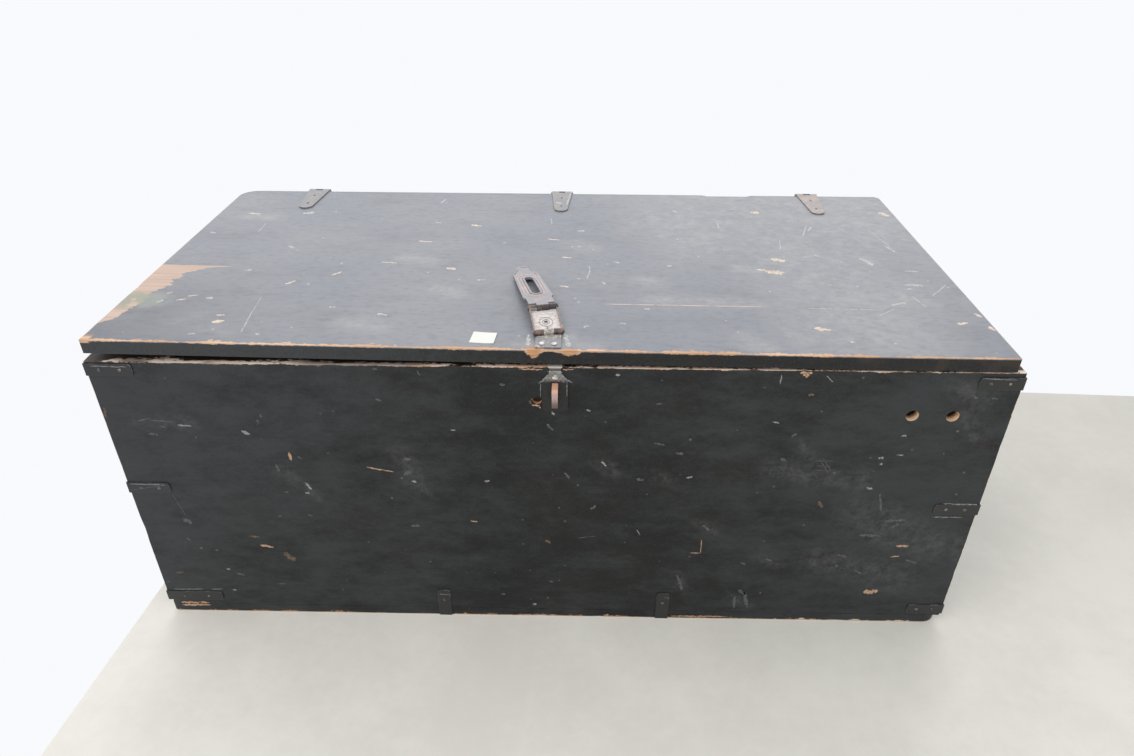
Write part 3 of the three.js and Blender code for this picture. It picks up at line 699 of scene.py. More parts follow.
def softenEdges(mesh, flat, width, angle, segments):
    # Edges under the first angle are taken out, and those over the second one bevelled
    bmesh.ops.dissolve_limit(mesh, angle_limit=math.radians(flat), verts=mesh.verts, edges=mesh.edges)
    sharp = [edge for edge in mesh.edges
             if len(edge.link_faces) == 2 and edge.calc_face_angle() > math.radians(angle)]
    made = bmesh.ops.bevel(mesh, geom=sharp, offset=width, offset_type="OFFSET", segments=segments,
                           profile=0.5, affect="EDGES", clamp_overlap=True)
    return made["faces"]


def sliceMesh(mesh, axis, low, high):
    steps = max(1, round((high - low) / boardWear["slice"]))
    for i in range(1, steps):
        centre, normal = Vector((0, 0, 0)), Vector((0, 0, 0))
        centre[axis], normal[axis] = low + (high - low) * i / steps, 1
        everything = mesh.verts[:] + mesh.edges[:] + mesh.faces[:]
        bmesh.ops.bisect_plane(mesh, geom=everything, plane_co=centre, plane_no=normal)


def finishPiece(mesh, name, materials, body, replaced=()):
    data = bpy.data.meshes.new(name)
    for face in mesh.faces:
        face.smooth = False
    mesh.to_mesh(data)
    mesh.free()
    for material in materials:
        data.materials.append(finishes[material])
    piece = addObject(name, data)
    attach(piece, body)
    if replaced:
        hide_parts(*replaced)


def finishShell(mesh, name, material, body):
    bmesh.ops.recalc_face_normals(mesh, faces=mesh.faces)
    finishPiece(mesh, name, [material], body)


def addBand(mesh, first, second):
    # Faces between two rows of corners
    for i in range(len(first) - 1):
        mesh.faces.new((first[i], first[i + 1], second[i + 1], second[i]))


def dustAt(place, clouds):
    total = 0
    for start, end, radius in clouds:
        along = end - start
        share = max(0, min(1, (place - start).dot(along) / max(along.length_squared, 1e-9)))
        off = (place - start - along * share).length / radius
        if off < 1:
            uneven = 0.75 + 0.5 * noise.noise(place * boardWear["dustScale"])
            total = max(total, (1 - off * off) ** 1.5 * uneven)
    return total


def wornBoard(name, body, material, arris, clouds=()):
    mesh = mergedCopy(name)
    softenEdges(mesh, 0.05, arris, 40, 3)
    low = Vector([min(vert.co[i] for vert in mesh.verts) for i in range(3)])
    high = Vector([max(vert.co[i] for vert in mesh.verts) for i in range(3)])
    for axis in range(3):
        if high[axis] - low[axis] > boardWear["sliceFrom"]:
            sliceMesh(mesh, axis, low[axis], high[axis])
    layer = mesh.verts.layers.float.new("dust")
    for vert in mesh.verts:
        vert[layer] = dustAt(vert.co, clouds)
        near = sorted((min(vert.co[i] - low[i], high[i] - vert.co[i]), i) for i in range(3))
        if near[1][0] < arris * 1.1:
            shake = noise.noise(vert.co * boardWear["wobbleScale"])
            nick = noise.noise(vert.co * boardWear["nickScale"] + Vector((7, 3, 1)))
            nick = max(0, nick - boardWear["nickFrom"]) * 3
            inward = boardWear["wobble"] * (0.5 + 0.5 * shake) + boardWear["nick"] * nick
            for distance, i in near[:2]:
                toMiddle = 1 if vert.co[i] - low[i] < high[i] - vert.co[i] else -1
                vert.co[i] += toMiddle * inward * 0.5
    if body in surfaces:
        surfaces[body].append(BVHTree.FromBMesh(mesh))
    finishPiece(mesh, "worn_" + name, [material], body, (name,))


# Marks read off the photograph: two ends in pixels, and a thickness in millimetres

lidMarks = {
    "wood": [
        (249, 213, 261, 214, 5), (332, 275, 341, 272, 4), (286, 284, 295, 281, 5), (213, 322, 223, 321, 9),
        (217, 315, 224, 315, 4), (177, 300, 185, 299, 4), (188, 296, 198, 295, 3), (382, 262, 397, 263, 3),
        (447, 268, 455, 269, 7), (477, 280, 485, 280, 3), (472, 225, 481, 226, 7), (419, 241, 432, 242, 4),
        (548, 239, 559, 240, 4), (562, 257, 571, 258, 4), (560, 286, 569, 287, 4),
        (752, 212.4, 757.5, 213, 13), (757, 269.5, 784, 272.5, 6), (767, 271.5, 781, 273, 14),
        (773, 259.5, 783, 260.5, 15), (816, 328.5, 829, 330, 11), (880, 213, 888, 216, 11),
        (976, 314, 981, 317, 8), (990, 327, 995, 330, 9), (958, 324, 967, 323, 6), (668, 266, 671, 266, 4),
        (946, 309.4, 982, 311, 2.6), (954, 283, 959, 287, 5), (532, 331, 545, 331.5, 3),
        (560, 338, 561, 345, 3),
    ],
    "pale": [
        (262, 296, 252, 312, 0.9), (253, 310, 241, 332, 1.6), (266, 223, 258, 232, 1.2),
        (207, 298, 212, 298, 6), (211, 232, 215, 233, 5), (289, 246, 294, 248, 5), (589, 266, 590, 270, 2),
        (590, 270, 587, 279, 2.4), (578, 231, 584, 231, 5), (378, 314, 386, 315, 5), (441, 203, 446, 199, 4),
        (584, 327, 588, 326, 4), (673, 211, 677, 212, 6), (815, 255, 818, 256, 5), (867, 229, 899, 254, 1.2),
        (885, 246, 895, 252, 4), (932, 296, 946, 285, 1.8), (879, 316, 894, 309, 1.4),
        (815, 283, 832, 285, 3), (806, 226, 803, 236, 2.5), (811, 227, 808, 231, 3), (908, 284, 921, 285, 3),
        (905, 289, 914, 289, 3), (851, 342, 855, 342, 4), (645, 309, 649, 309, 4), (602, 282, 605, 284, 4),
        (615, 262, 619, 263, 4), (620, 323, 626, 324, 3), (717, 222, 719, 229, 2), (900, 239, 907, 240, 2),
        (256, 334, 259, 334, 4), (189, 334, 194, 334, 5), (157, 302, 163, 300, 5), (245, 270, 251, 270, 4),
        (168, 293, 172, 292, 5), (808, 308.4, 882, 310, 1.1), (551, 218, 552, 224, 1.4),
        (436, 222, 441, 223, 4), (330, 307, 335, 307, 4), (305, 213, 312, 213, 13),
        (549.6, 191.6, 554.4, 204.4, 1.6), (571.4, 191.6, 566.6, 205, 2.4), (557, 202.6, 561, 203, 7),
        (814.6, 193, 821.4, 209, 1.6), (330, 191, 313, 206, 2), (564.6, 334, 568.4, 346, 7),
        (528.4, 335, 528, 346, 5), (904, 285, 923, 286, 4), (912, 296.5, 926, 307, 2.2),
        (892, 305, 905, 303, 5), (861, 259, 866, 261, 9), (866, 261, 872, 265, 9),
        (779.5, 240, 780.5, 250, 1.6), (905, 271, 919, 271.5, 4), (807, 282, 836, 286, 1.6),
    ],
    "dust": [
        (116, 325, 131, 321, 12), (180, 325, 202, 317, 9), (205, 333, 225, 338, 12),
        (345, 326, 378, 328, 14), (672, 222, 704, 238, 60), (646, 281, 655, 284, 14),
        (770, 258, 785, 262, 14), (858, 255, 872, 264, 16), (828, 240, 848, 246, 18),
        (867, 305, 900, 300, 16), (905, 297, 928, 302, 12), (745, 340, 765, 348, 14),
        (795, 332, 806, 346, 10), (405, 259, 432, 262, 12), (438, 289, 456, 294, 12),
        (575, 244, 592, 248, 12), (250, 216, 275, 217, 12), (738, 268, 768, 271, 12),
        (650, 300, 760, 303, 10), (820, 300, 880, 305, 12), (750, 203, 870, 209, 150),
        (790, 235, 860, 330, 70), (520, 346, 600, 348, 8), (556, 332, 572, 344, 9),
    ],
}
frontMarks = {
    "wood": [
        (367, 467, 381, 470, 1.8), (378, 469, 394, 472, 1.2), (701.6, 540, 700.4, 553, 1.2),
        (690, 553, 701, 553, 1.2), (897, 546, 908, 546, 3.2), (891, 557, 899, 556, 2),
        (261, 545, 273, 547, 3.4), (182, 602.2, 209, 602.4, 3.4), (183, 604.6, 210, 604.8, 3.4),
        (801, 373, 812, 373, 3), (804, 375, 809, 375, 3), (806, 377, 807, 376, 3), (865, 592, 876, 591, 8),
        (289, 453, 291, 460, 3.2), (471, 521, 477, 522, 2), (532, 405, 539.5, 405.8, 2),
        (539, 407.2, 540.4, 407.6, 1.6), (519, 368.9, 542, 369.6, 1.8), (563, 369.8, 573, 369.4, 1.8),
        (247, 611, 360, 613, 1.6), (384, 613, 397, 613.5, 2.4), (516, 614.5, 560, 615, 2.4),
        (604, 615, 608, 615, 3), (671, 616, 727, 616.5, 2),
    ],
    "brown": [
        (250, 536, 259, 537, 3), (285, 553, 294, 560, 7), (176, 573, 184, 572, 2.2),
        (277, 584, 286, 583.5, 1.6), (819, 502, 822, 507, 4), (104, 408, 106, 417, 3),
        (546, 540, 550, 543, 3), (809, 395, 814, 395, 3), (531, 398.4, 535, 397.6, 2.4),
        (529.6, 401, 530.8, 404, 2),
    ],
    "iron": [
        # the first row, across the bend of the staple plate's neck, is a painted highlight
        (548, 371.5, 562, 372, 2.6), (539, 383, 546, 379, 1.6), (565, 379, 572, 383, 1.6),
        (540.5, 383, 540.5, 397, 0.9), (567, 383, 567, 397, 0.9), (982, 378, 1017, 380, 1.1),
        (943, 503.5, 977, 504.5, 1.3), (131, 484, 165, 485, 1.3), (932, 517, 962, 517.5, 1.2),
        (90, 366, 126, 367, 1.2), (174, 589, 203, 589, 1.3), (212, 589, 222, 589, 1.2),
        (439, 594, 451, 594, 1.1),
    ],
    "pale": [
        (242, 431, 249, 434, 4), (306, 483, 311, 489, 3), (306, 493, 309, 493, 2.6),
        (233, 590, 236, 590, 2.4), (227, 569, 230, 569, 2.4), (412, 481, 416, 482, 3),
        (485, 481, 489, 481, 2.4), (602, 462, 606, 466, 2.4), (533, 604, 536, 604, 2.8),
        (616, 375, 620, 375, 2.4), (587, 410, 590, 411, 2.4), (782, 375, 780, 384, 1.2),
        (827, 376, 833, 382, 1.2), (773, 422, 779, 423, 1.8), (687, 478, 692, 477, 2.6),
        (879, 458, 883, 458, 3), (880, 464, 882, 464, 2.6), (897, 455, 903, 455, 2),
        (867, 488, 872, 489, 3.4), (902, 436, 906, 436, 2.4), (552, 412, 554, 415, 2.4),
        (637, 530, 640, 535, 1.4), (451, 430, 455, 430, 1.8), (178, 425, 191, 426, 2),
    ],
    "dull": [
        (138, 421, 150, 418, 1.8), (150, 420, 171, 422, 1.8), (160, 426, 165, 427, 2),
        (149, 434, 154, 434, 3), (276, 465, 279, 471, 2.8), (284, 492, 288, 492, 2), (185, 519, 191, 523, 6),
        (173, 495, 186, 516, 0.9), (237, 573, 244, 575, 2.8), (200, 548, 203, 548, 2.4),
        (216, 550, 218, 550, 2.4), (279, 516, 281, 516, 2), (404, 459, 410, 459, 4), (405, 474, 410, 472, 5),
        (412, 526, 419, 526, 4), (565, 473, 569, 478, 3), (578, 538, 595, 536, 1.2), (591, 509, 595, 506, 4),
        (417, 371, 420, 376, 1.6), (792, 437, 796, 434, 3), (657, 404, 662, 404, 2), (655, 443, 664, 445, 3),
        (676, 453, 683, 454, 3), (637, 479, 643, 480, 3), (130, 490, 164, 485.5, 1), (815, 461, 833, 461, 1),
        (817, 466, 830, 466, 1), (814, 470, 831, 471, 1), (820, 459, 828, 473, 1), (823, 458, 831, 471, 1),
        (735, 597, 734, 607, 4), (744, 592, 747, 607, 5), (739, 590, 745, 594, 4), (677, 575, 682, 590, 3),
        (880, 494, 881, 511, 3), (898, 524, 893, 527, 3), (703, 526, 709, 530, 4), (766, 559, 772, 561, 3),
        (838, 555, 846, 557, 3), (855, 570, 861, 574, 3), (665, 598, 669, 598, 3), (741, 563, 745, 564, 3),
        (973, 396, 977, 398, 3), (993, 398, 997, 399, 3), (500, 384, 504, 385, 3), (376, 399, 381, 401, 2.6),
        (373, 369, 377, 369, 2.4), (547, 425, 549, 425, 2.4), (502, 594, 505, 594, 3),
        (550, 581, 553, 582, 2.4), (548, 426, 553, 430, 2.6), (187, 538, 190, 540, 2),
        (298, 457, 302, 459, 2), (309, 515, 312, 516, 2), (260, 415, 261, 417, 2.4),
        (257, 420, 259, 423, 2.4), (860, 535, 878, 536, 4), (886, 521, 905, 520, 4), (906, 560, 916, 563, 3),
        (781, 459, 786, 461, 3),
    ],
    "dust": [
        (861, 521, 888, 538, 26), (730, 596, 748, 606, 9), (677, 575, 684, 592, 9), (960, 388, 985, 400, 18),
        (655, 476, 672, 482, 10), (602, 464, 614, 472, 14), (700, 524, 712, 530, 10),
        (760, 556, 775, 564, 12), (400, 455, 420, 490, 16), (280, 470, 315, 495, 12),
        (955, 545, 975, 580, 16), (803, 448, 812, 458, 12), (140, 425, 190, 423, 12),
        (820, 560, 900, 580, 34), (770, 470, 860, 480, 20), (965, 415, 980, 440, 14),
        (862, 515, 930, 545, 40),
    ],
}


def markedDust(rows, placeOf, swell):
    return [(placeOf(u0, v0), placeOf(u1, v1), size * swell * mm) for u0, v0, u1, v1, size in rows]


print("boards")
frontDust = markedDust(frontMarks["dust"], frontPlace, 1)
lidDust = markedDust(lidMarks["dust"], lidPlace, 1.6)
arris, seamArris = boardWear["arris"], boardWear["seamArris"]
for board in ("front_board", "rear_board", "left_end_board", "right_end_board"):
    wornBoard(board, "chest", "black_painted_boards", arris,
              frontDust if board == "front_board" else ())
for board in ("bottom_front_plank", "bottom_rear_plank"):
    wornBoard(board, "chest", "black_painted_boards", seamArris)
for board, edge in (("lid_front_plank", arris), ("lid_rear_plank", seamArris)):
    wornBoard(board, "lid", "worn_lid_paint", edge, lidDust)
for board in ("lid_left_batten", "lid_right_batten"):
    wornBoard(board, "lid", "batten_wood", seamArris)

fleckShape = {
    "lift": 0.05 * mm,
    "sunk": 0.15 * mm,
    "step": 1.1 * mm,
    "mostSteps": 60,
    "shortest": 0.3 * mm,  # a shorter mark has no direction of its own
    "blunt": 0.12,  # width of the tips, as a share of the middle's
    "sway": 1.2 * mm,
    "longest": 0.3,
    "facing": 0.7,  # a mark is left out where the surface faces elsewhere
}


def strike(body, start, direction, reach=5):
    found = [tree.ray_cast(start, direction, reach) for tree in surfaces[body]]
    found = [hit for hit in found if hit[0] is not None]
    return min(found, key=lambda hit: hit[3]) if found else None


def addFleck(mesh, body, start, end, normal, thick, seed):
    # A ragged sliver that follows the surface, a hair above it, and closed underneath
    along = end - start
    axis = along.normalized() if along.length > fleckShape["shortest"] else normal.orthogonal().normalized()
    across = normal.cross(axis).normalized()
    total = along.length + thick * 0.5
    steps = max(5, min(fleckShape["mostSteps"], int(total / fleckShape["step"]) + 4))
    upper, lower, upperDeep, lowerDeep = [], [], [], []
    for i in range(steps + 1):
        t = i / steps
        half = thick / 2 * max(fleckShape["blunt"], (1 - (2 * t - 1) ** 4) ** 0.5)
        shake = [noise.noise(Vector((t * steps * 0.45, seed * 3.7 + k * 11, 0.5))) for k in range(3)]
        centre = (start + axis * (t * total - thick * 0.25)
                  + across * min(thick, fleckShape["sway"]) * 0.3 * shake[2])
        edges = [centre + across * half * (0.8 + shake[0] * 0.9),
                 centre - across * half * (0.8 + shake[1] * 0.9)]
        for place, high, deep in zip(edges, (upper, lower), (upperDeep, lowerDeep)):
            hit = strike(body, place + normal * 4 * mm, -normal, 9 * mm)
            if not hit:
                break
            high.append(mesh.verts.new(hit[0] + normal * fleckShape["lift"]))
            deep.append(mesh.verts.new(hit[0] - normal * fleckShape["sunk"]))
    count = min(len(upper), len(lower))
    if count < 3:
        return
    sides = [side[:count] for side in (lower, upper, upperDeep, lowerDeep)]
    for first, second in zip(sides, sides[1:] + sides[:1]):
        addBand(mesh, first, second)
    mesh.faces.new([side[0] for side in sides])
    mesh.faces.new([side[-1] for side in reversed(sides)])


def makeFlecks(name, body, material, rows, slot="black_painted_wood", normal=Vector((0, -1, 0)), slim=1):
    mesh = bmesh.new()
    missed = 0
    for seed, (u0, v0, u1, v1, thick) in enumerate(rows):
        ends = [strike(body, cameraView["place"], sightLine(u, v)) for u, v in ((u0, v0), (u1, v1))]
        if (not all(ends) or (ends[0][0] - ends[1][0]).length > fleckShape["longest"]
                or min(end[1].dot(normal) for end in ends) < fleckShape["facing"]):
            missed += 1
            continue
        addFleck(mesh, body, ends[0][0], ends[1][0], normal, thick * slim * mm, seed)
    bmesh.ops.remove_doubles(mesh, verts=mesh.verts, dist=1e-7)
    print(name, len(mesh.faces), "faces,", missed, "left out")
    finishShell(mesh, name, material, body)


# Ironwork

haspShape = {
    "linkKnuckles": (3.2 * mm, 36 * mm),
    "flange": 12.8 * mm,
    "tray": (4 * mm, 35 * mm),
    "trayFacing": 0.6,
    "trayMiddle": (9 * mm, 12 * mm, 24 * mm),
    "tongueKnuckle": 3.4 * mm,
    "tip": 110 * mm,
}


def wornIron(name, plain, edge, slot="black_painted_iron", width=0.35 * mm):
    # The node's own shape with soft edges, which wear in their own finish
    body = next(body for body, members in frame["record"]["behaviour"]["bodies"].items() if name in members)
    mesh = mergedCopy(name)
    for face in softenEdges(mesh, 0.5, width, 30, 2):
        face.material_index = 1
    if body in surfaces:
        surfaces[body].append(BVHTree.FromBMesh(mesh))
    materials = [plain, edge] + (dressings[name](mesh) if name in dressings else [])
    finishPiece(mesh, "worn_" + name, materials, body, (name,))


def plateNormal(name):
    # The direction that most of a plate's upper surface faces
    found = {}
    for polygon in cadNodes[name].data.polygons:
        if polygon.normal.z > 0.5:
            key = tuple(round(number, 3) for number in polygon.normal)
            area, total = found.get(key, (0, Vector()))
            found[key] = (area + polygon.area, total + polygon.normal * polygon.area)
    return max(found.values(), key=lambda pair: pair[0])[1].normalized()


def haspAxes(jointName, node):
    joint = next(joint for joint in frame["record"]["behaviour"]["joints"] if joint["name"] == jointName)
    across, upward = Vector(joint["axis"]).normalized(), plateNormal(node)
    return Vector(joint["pos_m"]), across, upward.cross(across).normalized(), upward


linkFrame = haspAxes("hasp_link_hinge", "hasp_link")
tongueFrame = haspAxes("hasp_tongue_hinge", "hasp_tongue")


def inFrame(axes, place):
    return [(place - axes[0]).dot(axis) for axis in axes[1:]]


def fromFrame(axes, x, y, z):
    return axes[0] + axes[1] * x + axes[2] * y + axes[3] * z


def dressLink(mesh):
    # Dust lies in the tray, between the side flanges, and the knuckles are dark
    mesh.normal_update()
    near, far = haspShape["linkKnuckles"]
    for face in mesh.faces:
        x, y, z = inFrame(linkFrame, face.calc_center_median())
        facing = face.normal.dot(linkFrame[3])
        if not near <= y <= far:
            face.material_index = 3
        elif abs(x) > haspShape["flange"] and face.material_index == 0:
            face.material_index = 4
        elif haspShape["tray"][0] < y < haspShape["tray"][1] and facing > haspShape["trayFacing"] and z < 0:
            face.material_index = 2
    return ["dusty_tray", "knuckle_iron", "link_flange"]


def dressTongue(mesh):
    for face in mesh.faces:
        if inFrame(tongueFrame, face.calc_center_median())[1] < haspShape["tongueKnuckle"]:
            face.material_index = 2
    return ["knuckle_iron"]


dressings = {"hasp_link": dressLink, "hasp_tongue": dressTongue}
ironPieces = {  # end of the name: finish, the edges' finish, and where they differ slot and softness
    "_strap": ("painted_strap_iron", "strap_edge"),
    "lower_leaf": ("painted_strap_iron", "strap_edge"),
    "staple_plate": ("rubbed_staple_plate", "rubbed_staple_plate"),
    "right_hinge_upper_leaf": ("warm_leaf_iron", "pale_leaf_edge"),
    "upper_leaf": ("hinge_leaf_iron", "hinge_leaf_edge"),
    "hasp_base_plate": ("hasp_base_iron", "hinge_leaf_edge"),
    "hasp_link": ("hasp_iron", "link_edge", "rusty_iron"),
    "staple": ("rubbed_staple", "rubbed_staple", "rusty_iron"),
    # the tongue's edges take painted shade
    "hasp_tongue": ("hasp_iron", "hasp_edge", "rusty_iron", 0.55 * mm),
}
# the hasp's and plate's nails carry a painted glint
pinFinishes = {"_pin": "nail_iron", "_nail": "nail_painted_glint"}

print("ironwork")
for name in list(cadNodes):
    kind = next((ending for ending in (*ironPieces, *pinFinishes) if name.endswith(ending)), None)
    if kind in ironPieces:
        wornIron(name, *ironPieces[kind])
    elif kind:
        cadNodes[name].data.materials.clear()
        cadNodes[name].data.materials.append(finishes[pinFinishes[kind]])

haspBeads = {
    "sides": 6,
    "radius": 0.7 * mm,
    "rings": (6.8 * mm, 3.5 * mm),
    "ringPlace": 17.5 * mm,
    "ringSteps": 28,
    # half width, start and end along the tongue, and share of the bead's radius
    "ribs": ((8.4 * mm, 27 * mm, 88 * mm, 1), (12 * mm, 24.6 * mm, 93 * mm, 0.8)),
}


def addBead(mesh, axes, points, radius):
    # A half sunk bead along a closed path drawn in the piece's own axes
    rings = []
    for i, point in enumerate(points):
        heading = (Vector(points[(i + 1) % len(points)]) - Vector(points[i - 1])).normalized()
        side = heading.cross(Vector((0, 0, 1))).normalized()
        rings.append([])
        for k in range(haspBeads["sides"]):
            angle = 2 * math.pi * k / haspBeads["sides"]
            spot = Vector(point) + side * radius * math.cos(angle) + Vector((0, 0, radius * math.sin(angle)))
            rings[-1].append(mesh.verts.new(fromFrame(axes, *spot)))
    for first, second in zip(rings, rings[1:] + rings[:1]):
        addBand(mesh, first + first[:1], second + second[:1])


def oval(halfWide, start, end, level, steps=10):
    points = []
    for centre, turn in ((end - halfWide, 0), (start + halfWide, math.pi)):
        for k in range(steps + 1):
            angle = turn + math.pi * k / steps
            points.append((halfWide * math.cos(angle), centre + halfWide * math.sin(angle), level))
    return points


def makeHaspBeads():
    half, near, far = haspShape["trayMiddle"]
    spots = [inFrame(linkFrame, vert.co) for vert in cadNodes["hasp_link"].data.vertices]
    level = max(z for x, y, z in spots if near < y < far and abs(x) < half)
    mesh = bmesh.new()
    for radius in haspBeads["rings"]:
        angles = [math.tau * k / haspBeads["ringSteps"] for k in range(haspBeads["ringSteps"])]
        circle = [(radius * math.cos(angle), haspBeads["ringPlace"] + radius * math.sin(angle), level)
                  for angle in angles]
        addBead(mesh, linkFrame, circle, haspBeads["radius"] * 0.75)
    # the rings' finish is darkened with painted shade as well as dust
    finishShell(mesh, "link_embossed_rings", "ring_dust_and_shade", "hasp_link")

    spots = [inFrame(tongueFrame, vert.co) for vert in cadNodes["hasp_tongue"].data.vertices]
    level = max(z for x, y, z in spots if y > haspShape["tip"])
    mesh = bmesh.new()
    for half, start, end, share in haspBeads["ribs"]:
        addBead(mesh, tongueFrame, oval(half, start, end, level), haspBeads["radius"] * share)
    finishShell(mesh, "tongue_pressed_ribs", "rubbed_rib", "hasp_tongue")


makeHaspBeads()

print("scratches and chips")
upwards = Vector((0, 0, 1))
# painted shade: dark lines along the tongue's tip and shoulders
tongueShadeLines = [
    (519.8, 267.6, 526.6, 267.4, 1.4), (514.2, 275.2, 518.4, 269.4, 1.1), (528.6, 268.6, 533, 271.6, 0.7),
    (533.6, 272.2, 537, 275, 0.6), (514.4, 278.5, 515.4, 284, 0.6),
]
for fleckRow in (
        ("lid_bare_chips", "lid", "cream_chip", lidMarks["wood"], "lid_painted_wood", upwards, 0.72),
        ("lid_pale_scratches", "lid", "pale_scratch", lidMarks["pale"], "lid_painted_wood", upwards, 0.8),
        ("front_bare_chips", "chest", "bare_wood", frontMarks["wood"]),
        ("front_brown_stains", "chest", "brown_stain", frontMarks["brown"]),
        ("front_pale_specks", "chest", "front_speck", frontMarks["pale"]),
        ("front_dull_scuffs", "chest", "dull_scuff", frontMarks["dull"]),
        ("strap_bright_edges", "chest", "iron_edge_wear_and_highlight", frontMarks["iron"], "black_painted_iron"),
        ("tongue_shade_lines", "hasp_tongue", "painted_shade_line", tongueShadeLines, "rusty_iron", tongueFrame[3])):
    makeFlecks(*fleckRow)

# Nail heads, scattered by Geometry Nodes over points with an outward direction

nailHeads = {
    "Head Radius": 1.9 * mm,
    "Flatness": 0.38,
    "Seed": 7,
    "segments": 10,
    "rings": 6,
    "spread": (0.8, 1.2),
    # shares of the length of a leg or leaf
    "strap": (0.32, 0.74),
    "foot": 0.62,
    "lowerLeaf": (0.25, 0.6),
    "upperLeaf": (0.22, 0.62),
    "lowerLeafThick": 1.5 * mm,
}


def nailTree(material):
    tree = bpy.data.node_groups.new("nail heads", "GeometryNodeTree")
    inputs = {}
    tree.interface.new_socket("Geometry", in_out="INPUT", socket_type="NodeSocketGeometry")
    for name, kind in (("Head Radius", "Float"), ("Flatness", "Float"), ("Seed", "Int")):
        socket = tree.interface.new_socket(name, in_out="INPUT", socket_type="NodeSocket" + kind)
        inputs[socket.identifier] = nailHeads[name]
    tree.interface.new_socket("Geometry", in_out="OUTPUT", socket_type="NodeSocketGeometry")
    points = Wire(tree.nodes.new("NodeGroupInput").outputs["Geometry"])
    inputsOfHead = {"Segments": nailHeads["segments"], "Rings": nailHeads["rings"],
                    "Radius": points.beside("Head Radius")}
    head = addNode("GeometryNodeMeshUVSphere", inputsOfHead, "Mesh")
    squash = joined(1, 1, points.beside("Flatness"))
    shaped = addNode("GeometryNodeTransform", {"Geometry": head, "Scale": squash})
    outward = addNode("GeometryNodeInputNamedAttribute", {"Name": "outward"}, "Attribute", tree,
                      data_type="FLOAT_VECTOR")
    turn = addNode("FunctionNodeAlignRotationToVector", {"Vector": outward}, axis="Z")
    least, most = nailHeads["spread"]
    size = addNode("FunctionNodeRandomValue", {2: least, 3: most, "Seed": points.beside("Seed")}, 1,
                   data_type="FLOAT")
    placed = addNode("GeometryNodeInstanceOnPoints",
                     {"Points": points, "Instance": shaped, "Rotation": turn, "Scale": size})
    real = addNode("GeometryNodeRealizeInstances", {0: placed})
    finished = addNode("GeometryNodeSetMaterial", {"Geometry": real, "Material": material})
    feed(tree.nodes.new("NodeGroupOutput").inputs[0], finished)
    return tree, inputs


def ironTop(name, x, y):
    copy = mergedCopy(name)
    hit = BVHTree.FromBMesh(copy).ray_cast(Vector((x, y, 1)), Vector((0, 0, -1)))
    copy.free()
    return hit[0].z


def nailPlaces():
    # Where the nails of straps and leaves stand, set from each one's own box, and which way they face
    chest, lid = [], []
    for name in cadNodes:
        low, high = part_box(name)
        middle, size = (low + high) / 2, high - low
        outX, outY = -1 if "_left_" in name else 1, -1 if name.startswith("front") else 1
        side, face = low.x if outX < 0 else high.x, low.y if outY < 0 else high.y
        if name.endswith(("top_strap", "middle_strap", "bottom_strap")):
            for share in nailHeads["strap"]:
                chest.append(((side - outX * size.x * share, face, middle.z), (0, outY, 0)))
                chest.append(((side, face - outY * size.y * share, middle.z), (outX, 0, 0)))
        elif name.endswith("foot_strap"):
            chest.append(((middle.x, face, low.z + size.z * nailHeads["foot"]), (0, outY, 0)))
        elif name.endswith("lower_leaf"):
            onLeaf = boxShape["rear"] + nailHeads["lowerLeafThick"]
            for share in nailHeads["lowerLeaf"]:
                chest.append(((middle.x, onLeaf, low.z + size.z * share), (0, 1, 0)))
        elif name.endswith("upper_leaf"):
            for y in (low.y + size.y * share for share in nailHeads["upperLeaf"]):
                lid.append(((middle.x, y, ironTop(name, middle.x, y)), (0, 0, 1)))
    return {"chest": chest, "lid": lid}


def makeNails():
    tree, inputs = nailTree(finishes["nail_iron"])
    for body, spots in nailPlaces().items():
        points = bpy.data.meshes.new(body + "_nails")
        points.from_pydata([place for place, outward in spots], [], [])
        layer = points.attributes.new("outward", "FLOAT_VECTOR", "POINT")
        layer.data.foreach_set("vector", [number for place, outward in spots for number in outward])
        holder = addObject(body + "_nails", points)
        modifier = holder.modifiers.new("nails", "NODES")
        modifier.node_group = tree
        for identifier, value in inputs.items():
            modifier[identifier] = value
        depsgraph = bpy.context.evaluated_depsgraph_get()
        made = bpy.data.meshes.new_from_object(holder.evaluated_get(depsgraph))
        holder.modifiers.clear()
        holder.data = made
        made.name = body + "_nail_heads"
        for polygon in made.polygons:
            polygon.use_smooth = True
        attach(holder, body)
        print(body, "nails", len(spots))


print("nails")
makeNails()

# A blank paper label

label = {
    "corners": [(473.8, 331.6), (497.3, 333.4), (493.5, 343.9), (468.9, 342.3)],
    "thick": 0.15 * mm,
    "curl": 0.6 * mm,
    "steps": 6,
}


def makeLabel():
    far, farRight, nearRight, near = (strike("lid", cameraView["place"], sightLine(u, v))[0]
                                      for u, v in label["corners"])
    steps = label["steps"]
    mesh = bmesh.new()
    layers = []
    for level in (label["thick"], -label["thick"]):
        rows = []
        for j in range(steps + 1):
            left, right = near.lerp(far, j / steps), nearRight.lerp(farRight, j / steps)
            rows.append([])
            for i in range(steps + 1):
                place = left.lerp(right, i / steps) + Vector((0, 0, level + label["curl"] * (i / steps) ** 5))
                rows[-1].append(mesh.verts.new(place))
        layers.append(rows)
    for rows in layers:
        for first, second in zip(rows, rows[1:]):
            addBand(mesh, first, second)
    upper, lower = layers
    for j in (0, steps):
        addBand(mesh, upper[j], lower[j])
        addBand(mesh, [row[j] for row in upper], [row[j] for row in lower])
    finishShell(mesh, "blank_label", "label_paper", "lid")


print("label")
makeLabel()

# Floor, backdrop and light

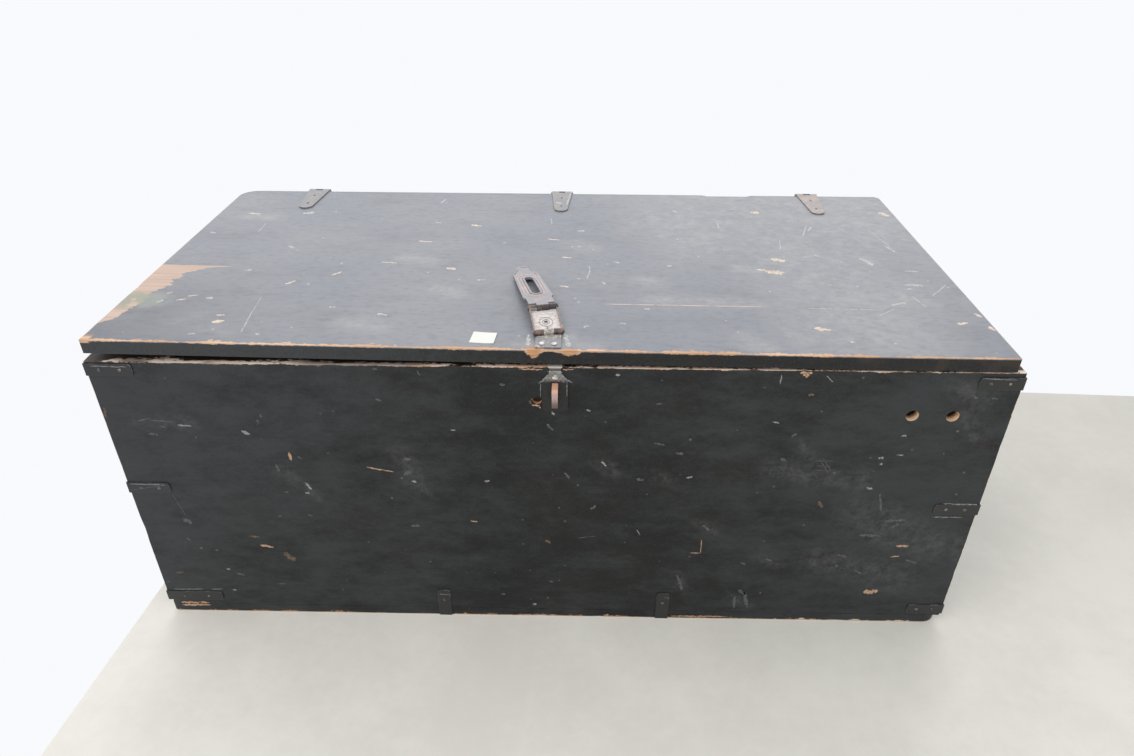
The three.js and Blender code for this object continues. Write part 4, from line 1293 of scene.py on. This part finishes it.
stage = {
    "floor": ((0.8, 0.775, 0.7), (0.88, 0.855, 0.775)),
    "backEdge": ((1040, 393), (1130, 396)),
    "leftEdge": ((163, 585), (45, 750)),
    "reach": 6,
    "soft": 0.82,
    "backdrop": (0.945, 0.953, 0.98),
    "lamps": {  # place, target, width, height, power
        "back_softbox": ((0, 1.5, 1.5), (0, 0, 0.36), 3.4, 1.4, 26),
        "front_softbox": ((-0.9, -1.8, 2.6), (0, 0, 0.2), 2.4, 2, 30),
    },
}


def crossing(first, second):
    (a, b), (c, d) = first, second
    across, other = b - a, d - c
    share = ((c.x - a.x) * other.y - (c.y - a.y) * other.x) / (across.x * other.y - across.y * other.x)
    return a + across * share


def makeFloor():
    edges = [[onPlane(u, v, 2, 0) for u, v in stage[edge]] for edge in ("backEdge", "leftEdge")]
    corner = crossing(*edges)
    right, front = ((end - start).normalized() * stage["reach"] for start, end in edges)
    mesh = bmesh.new()
    corners = (corner, corner + front, corner + front + right, corner + right)
    mesh.faces.new([mesh.verts.new(spot) for spot in corners])
    data = bpy.data.meshes.new("floor")
    mesh.to_mesh(data)
    mesh.free()
    material, place, (x, y, z) = newMaterial("pale_floor")
    shade = cloud(place, 4, 6, 0.65) * 0.8 + cloud(place, 60, 4, 0.7) * 0.2
    # painted shade: the floor darkens towards the back right
    distanceShade = grow(x + y, -0.4, 1.2, 1, 0.64)
    colour = stretched(mixed(grow(shade, 0.38, 0.62), *stage["floor"]), joined(distanceShade, distanceShade, distanceShade))
    data.materials.append(surface(material, colour, 0.65))
    addObject("floor", data)


def makeLamp(name, place, target, wide, high, power):
    data = bpy.data.lights.new(name, "AREA")
    data.shape = "RECTANGLE"
    data.size, data.size_y = wide, high
    data.energy = power
    aim = (Vector(target) - Vector(place)).to_track_quat("-Z", "Y")
    addObject(name, data).matrix_world = Matrix.Translation(place) @ aim.to_matrix().to_4x4()


def makeWorld():
    world = bpy.data.worlds.new("studio")
    world.use_nodes = True
    tree = world.node_tree
    tree.nodes.clear()
    path = tree.nodes.new("ShaderNodeLightPath").outputs
    seen = highest(*(Wire(path[f"Is {kind} Ray"]) for kind in ("Camera", "Glossy", "Transmission")))
    strength = plainMix(seen, stage["soft"], 1)
    background = addNode("ShaderNodeBackground", {"Color": stage["backdrop"], "Strength": strength})
    feed(tree.nodes.new("ShaderNodeOutputWorld").inputs["Surface"], background)
    bpy.context.scene.world = world


print("stage")
makeFloor()
makeWorld()
for name, values in stage["lamps"].items():
    makeLamp(name, *values)

bpy.context.scene.view_settings.view_transform = "Standard"
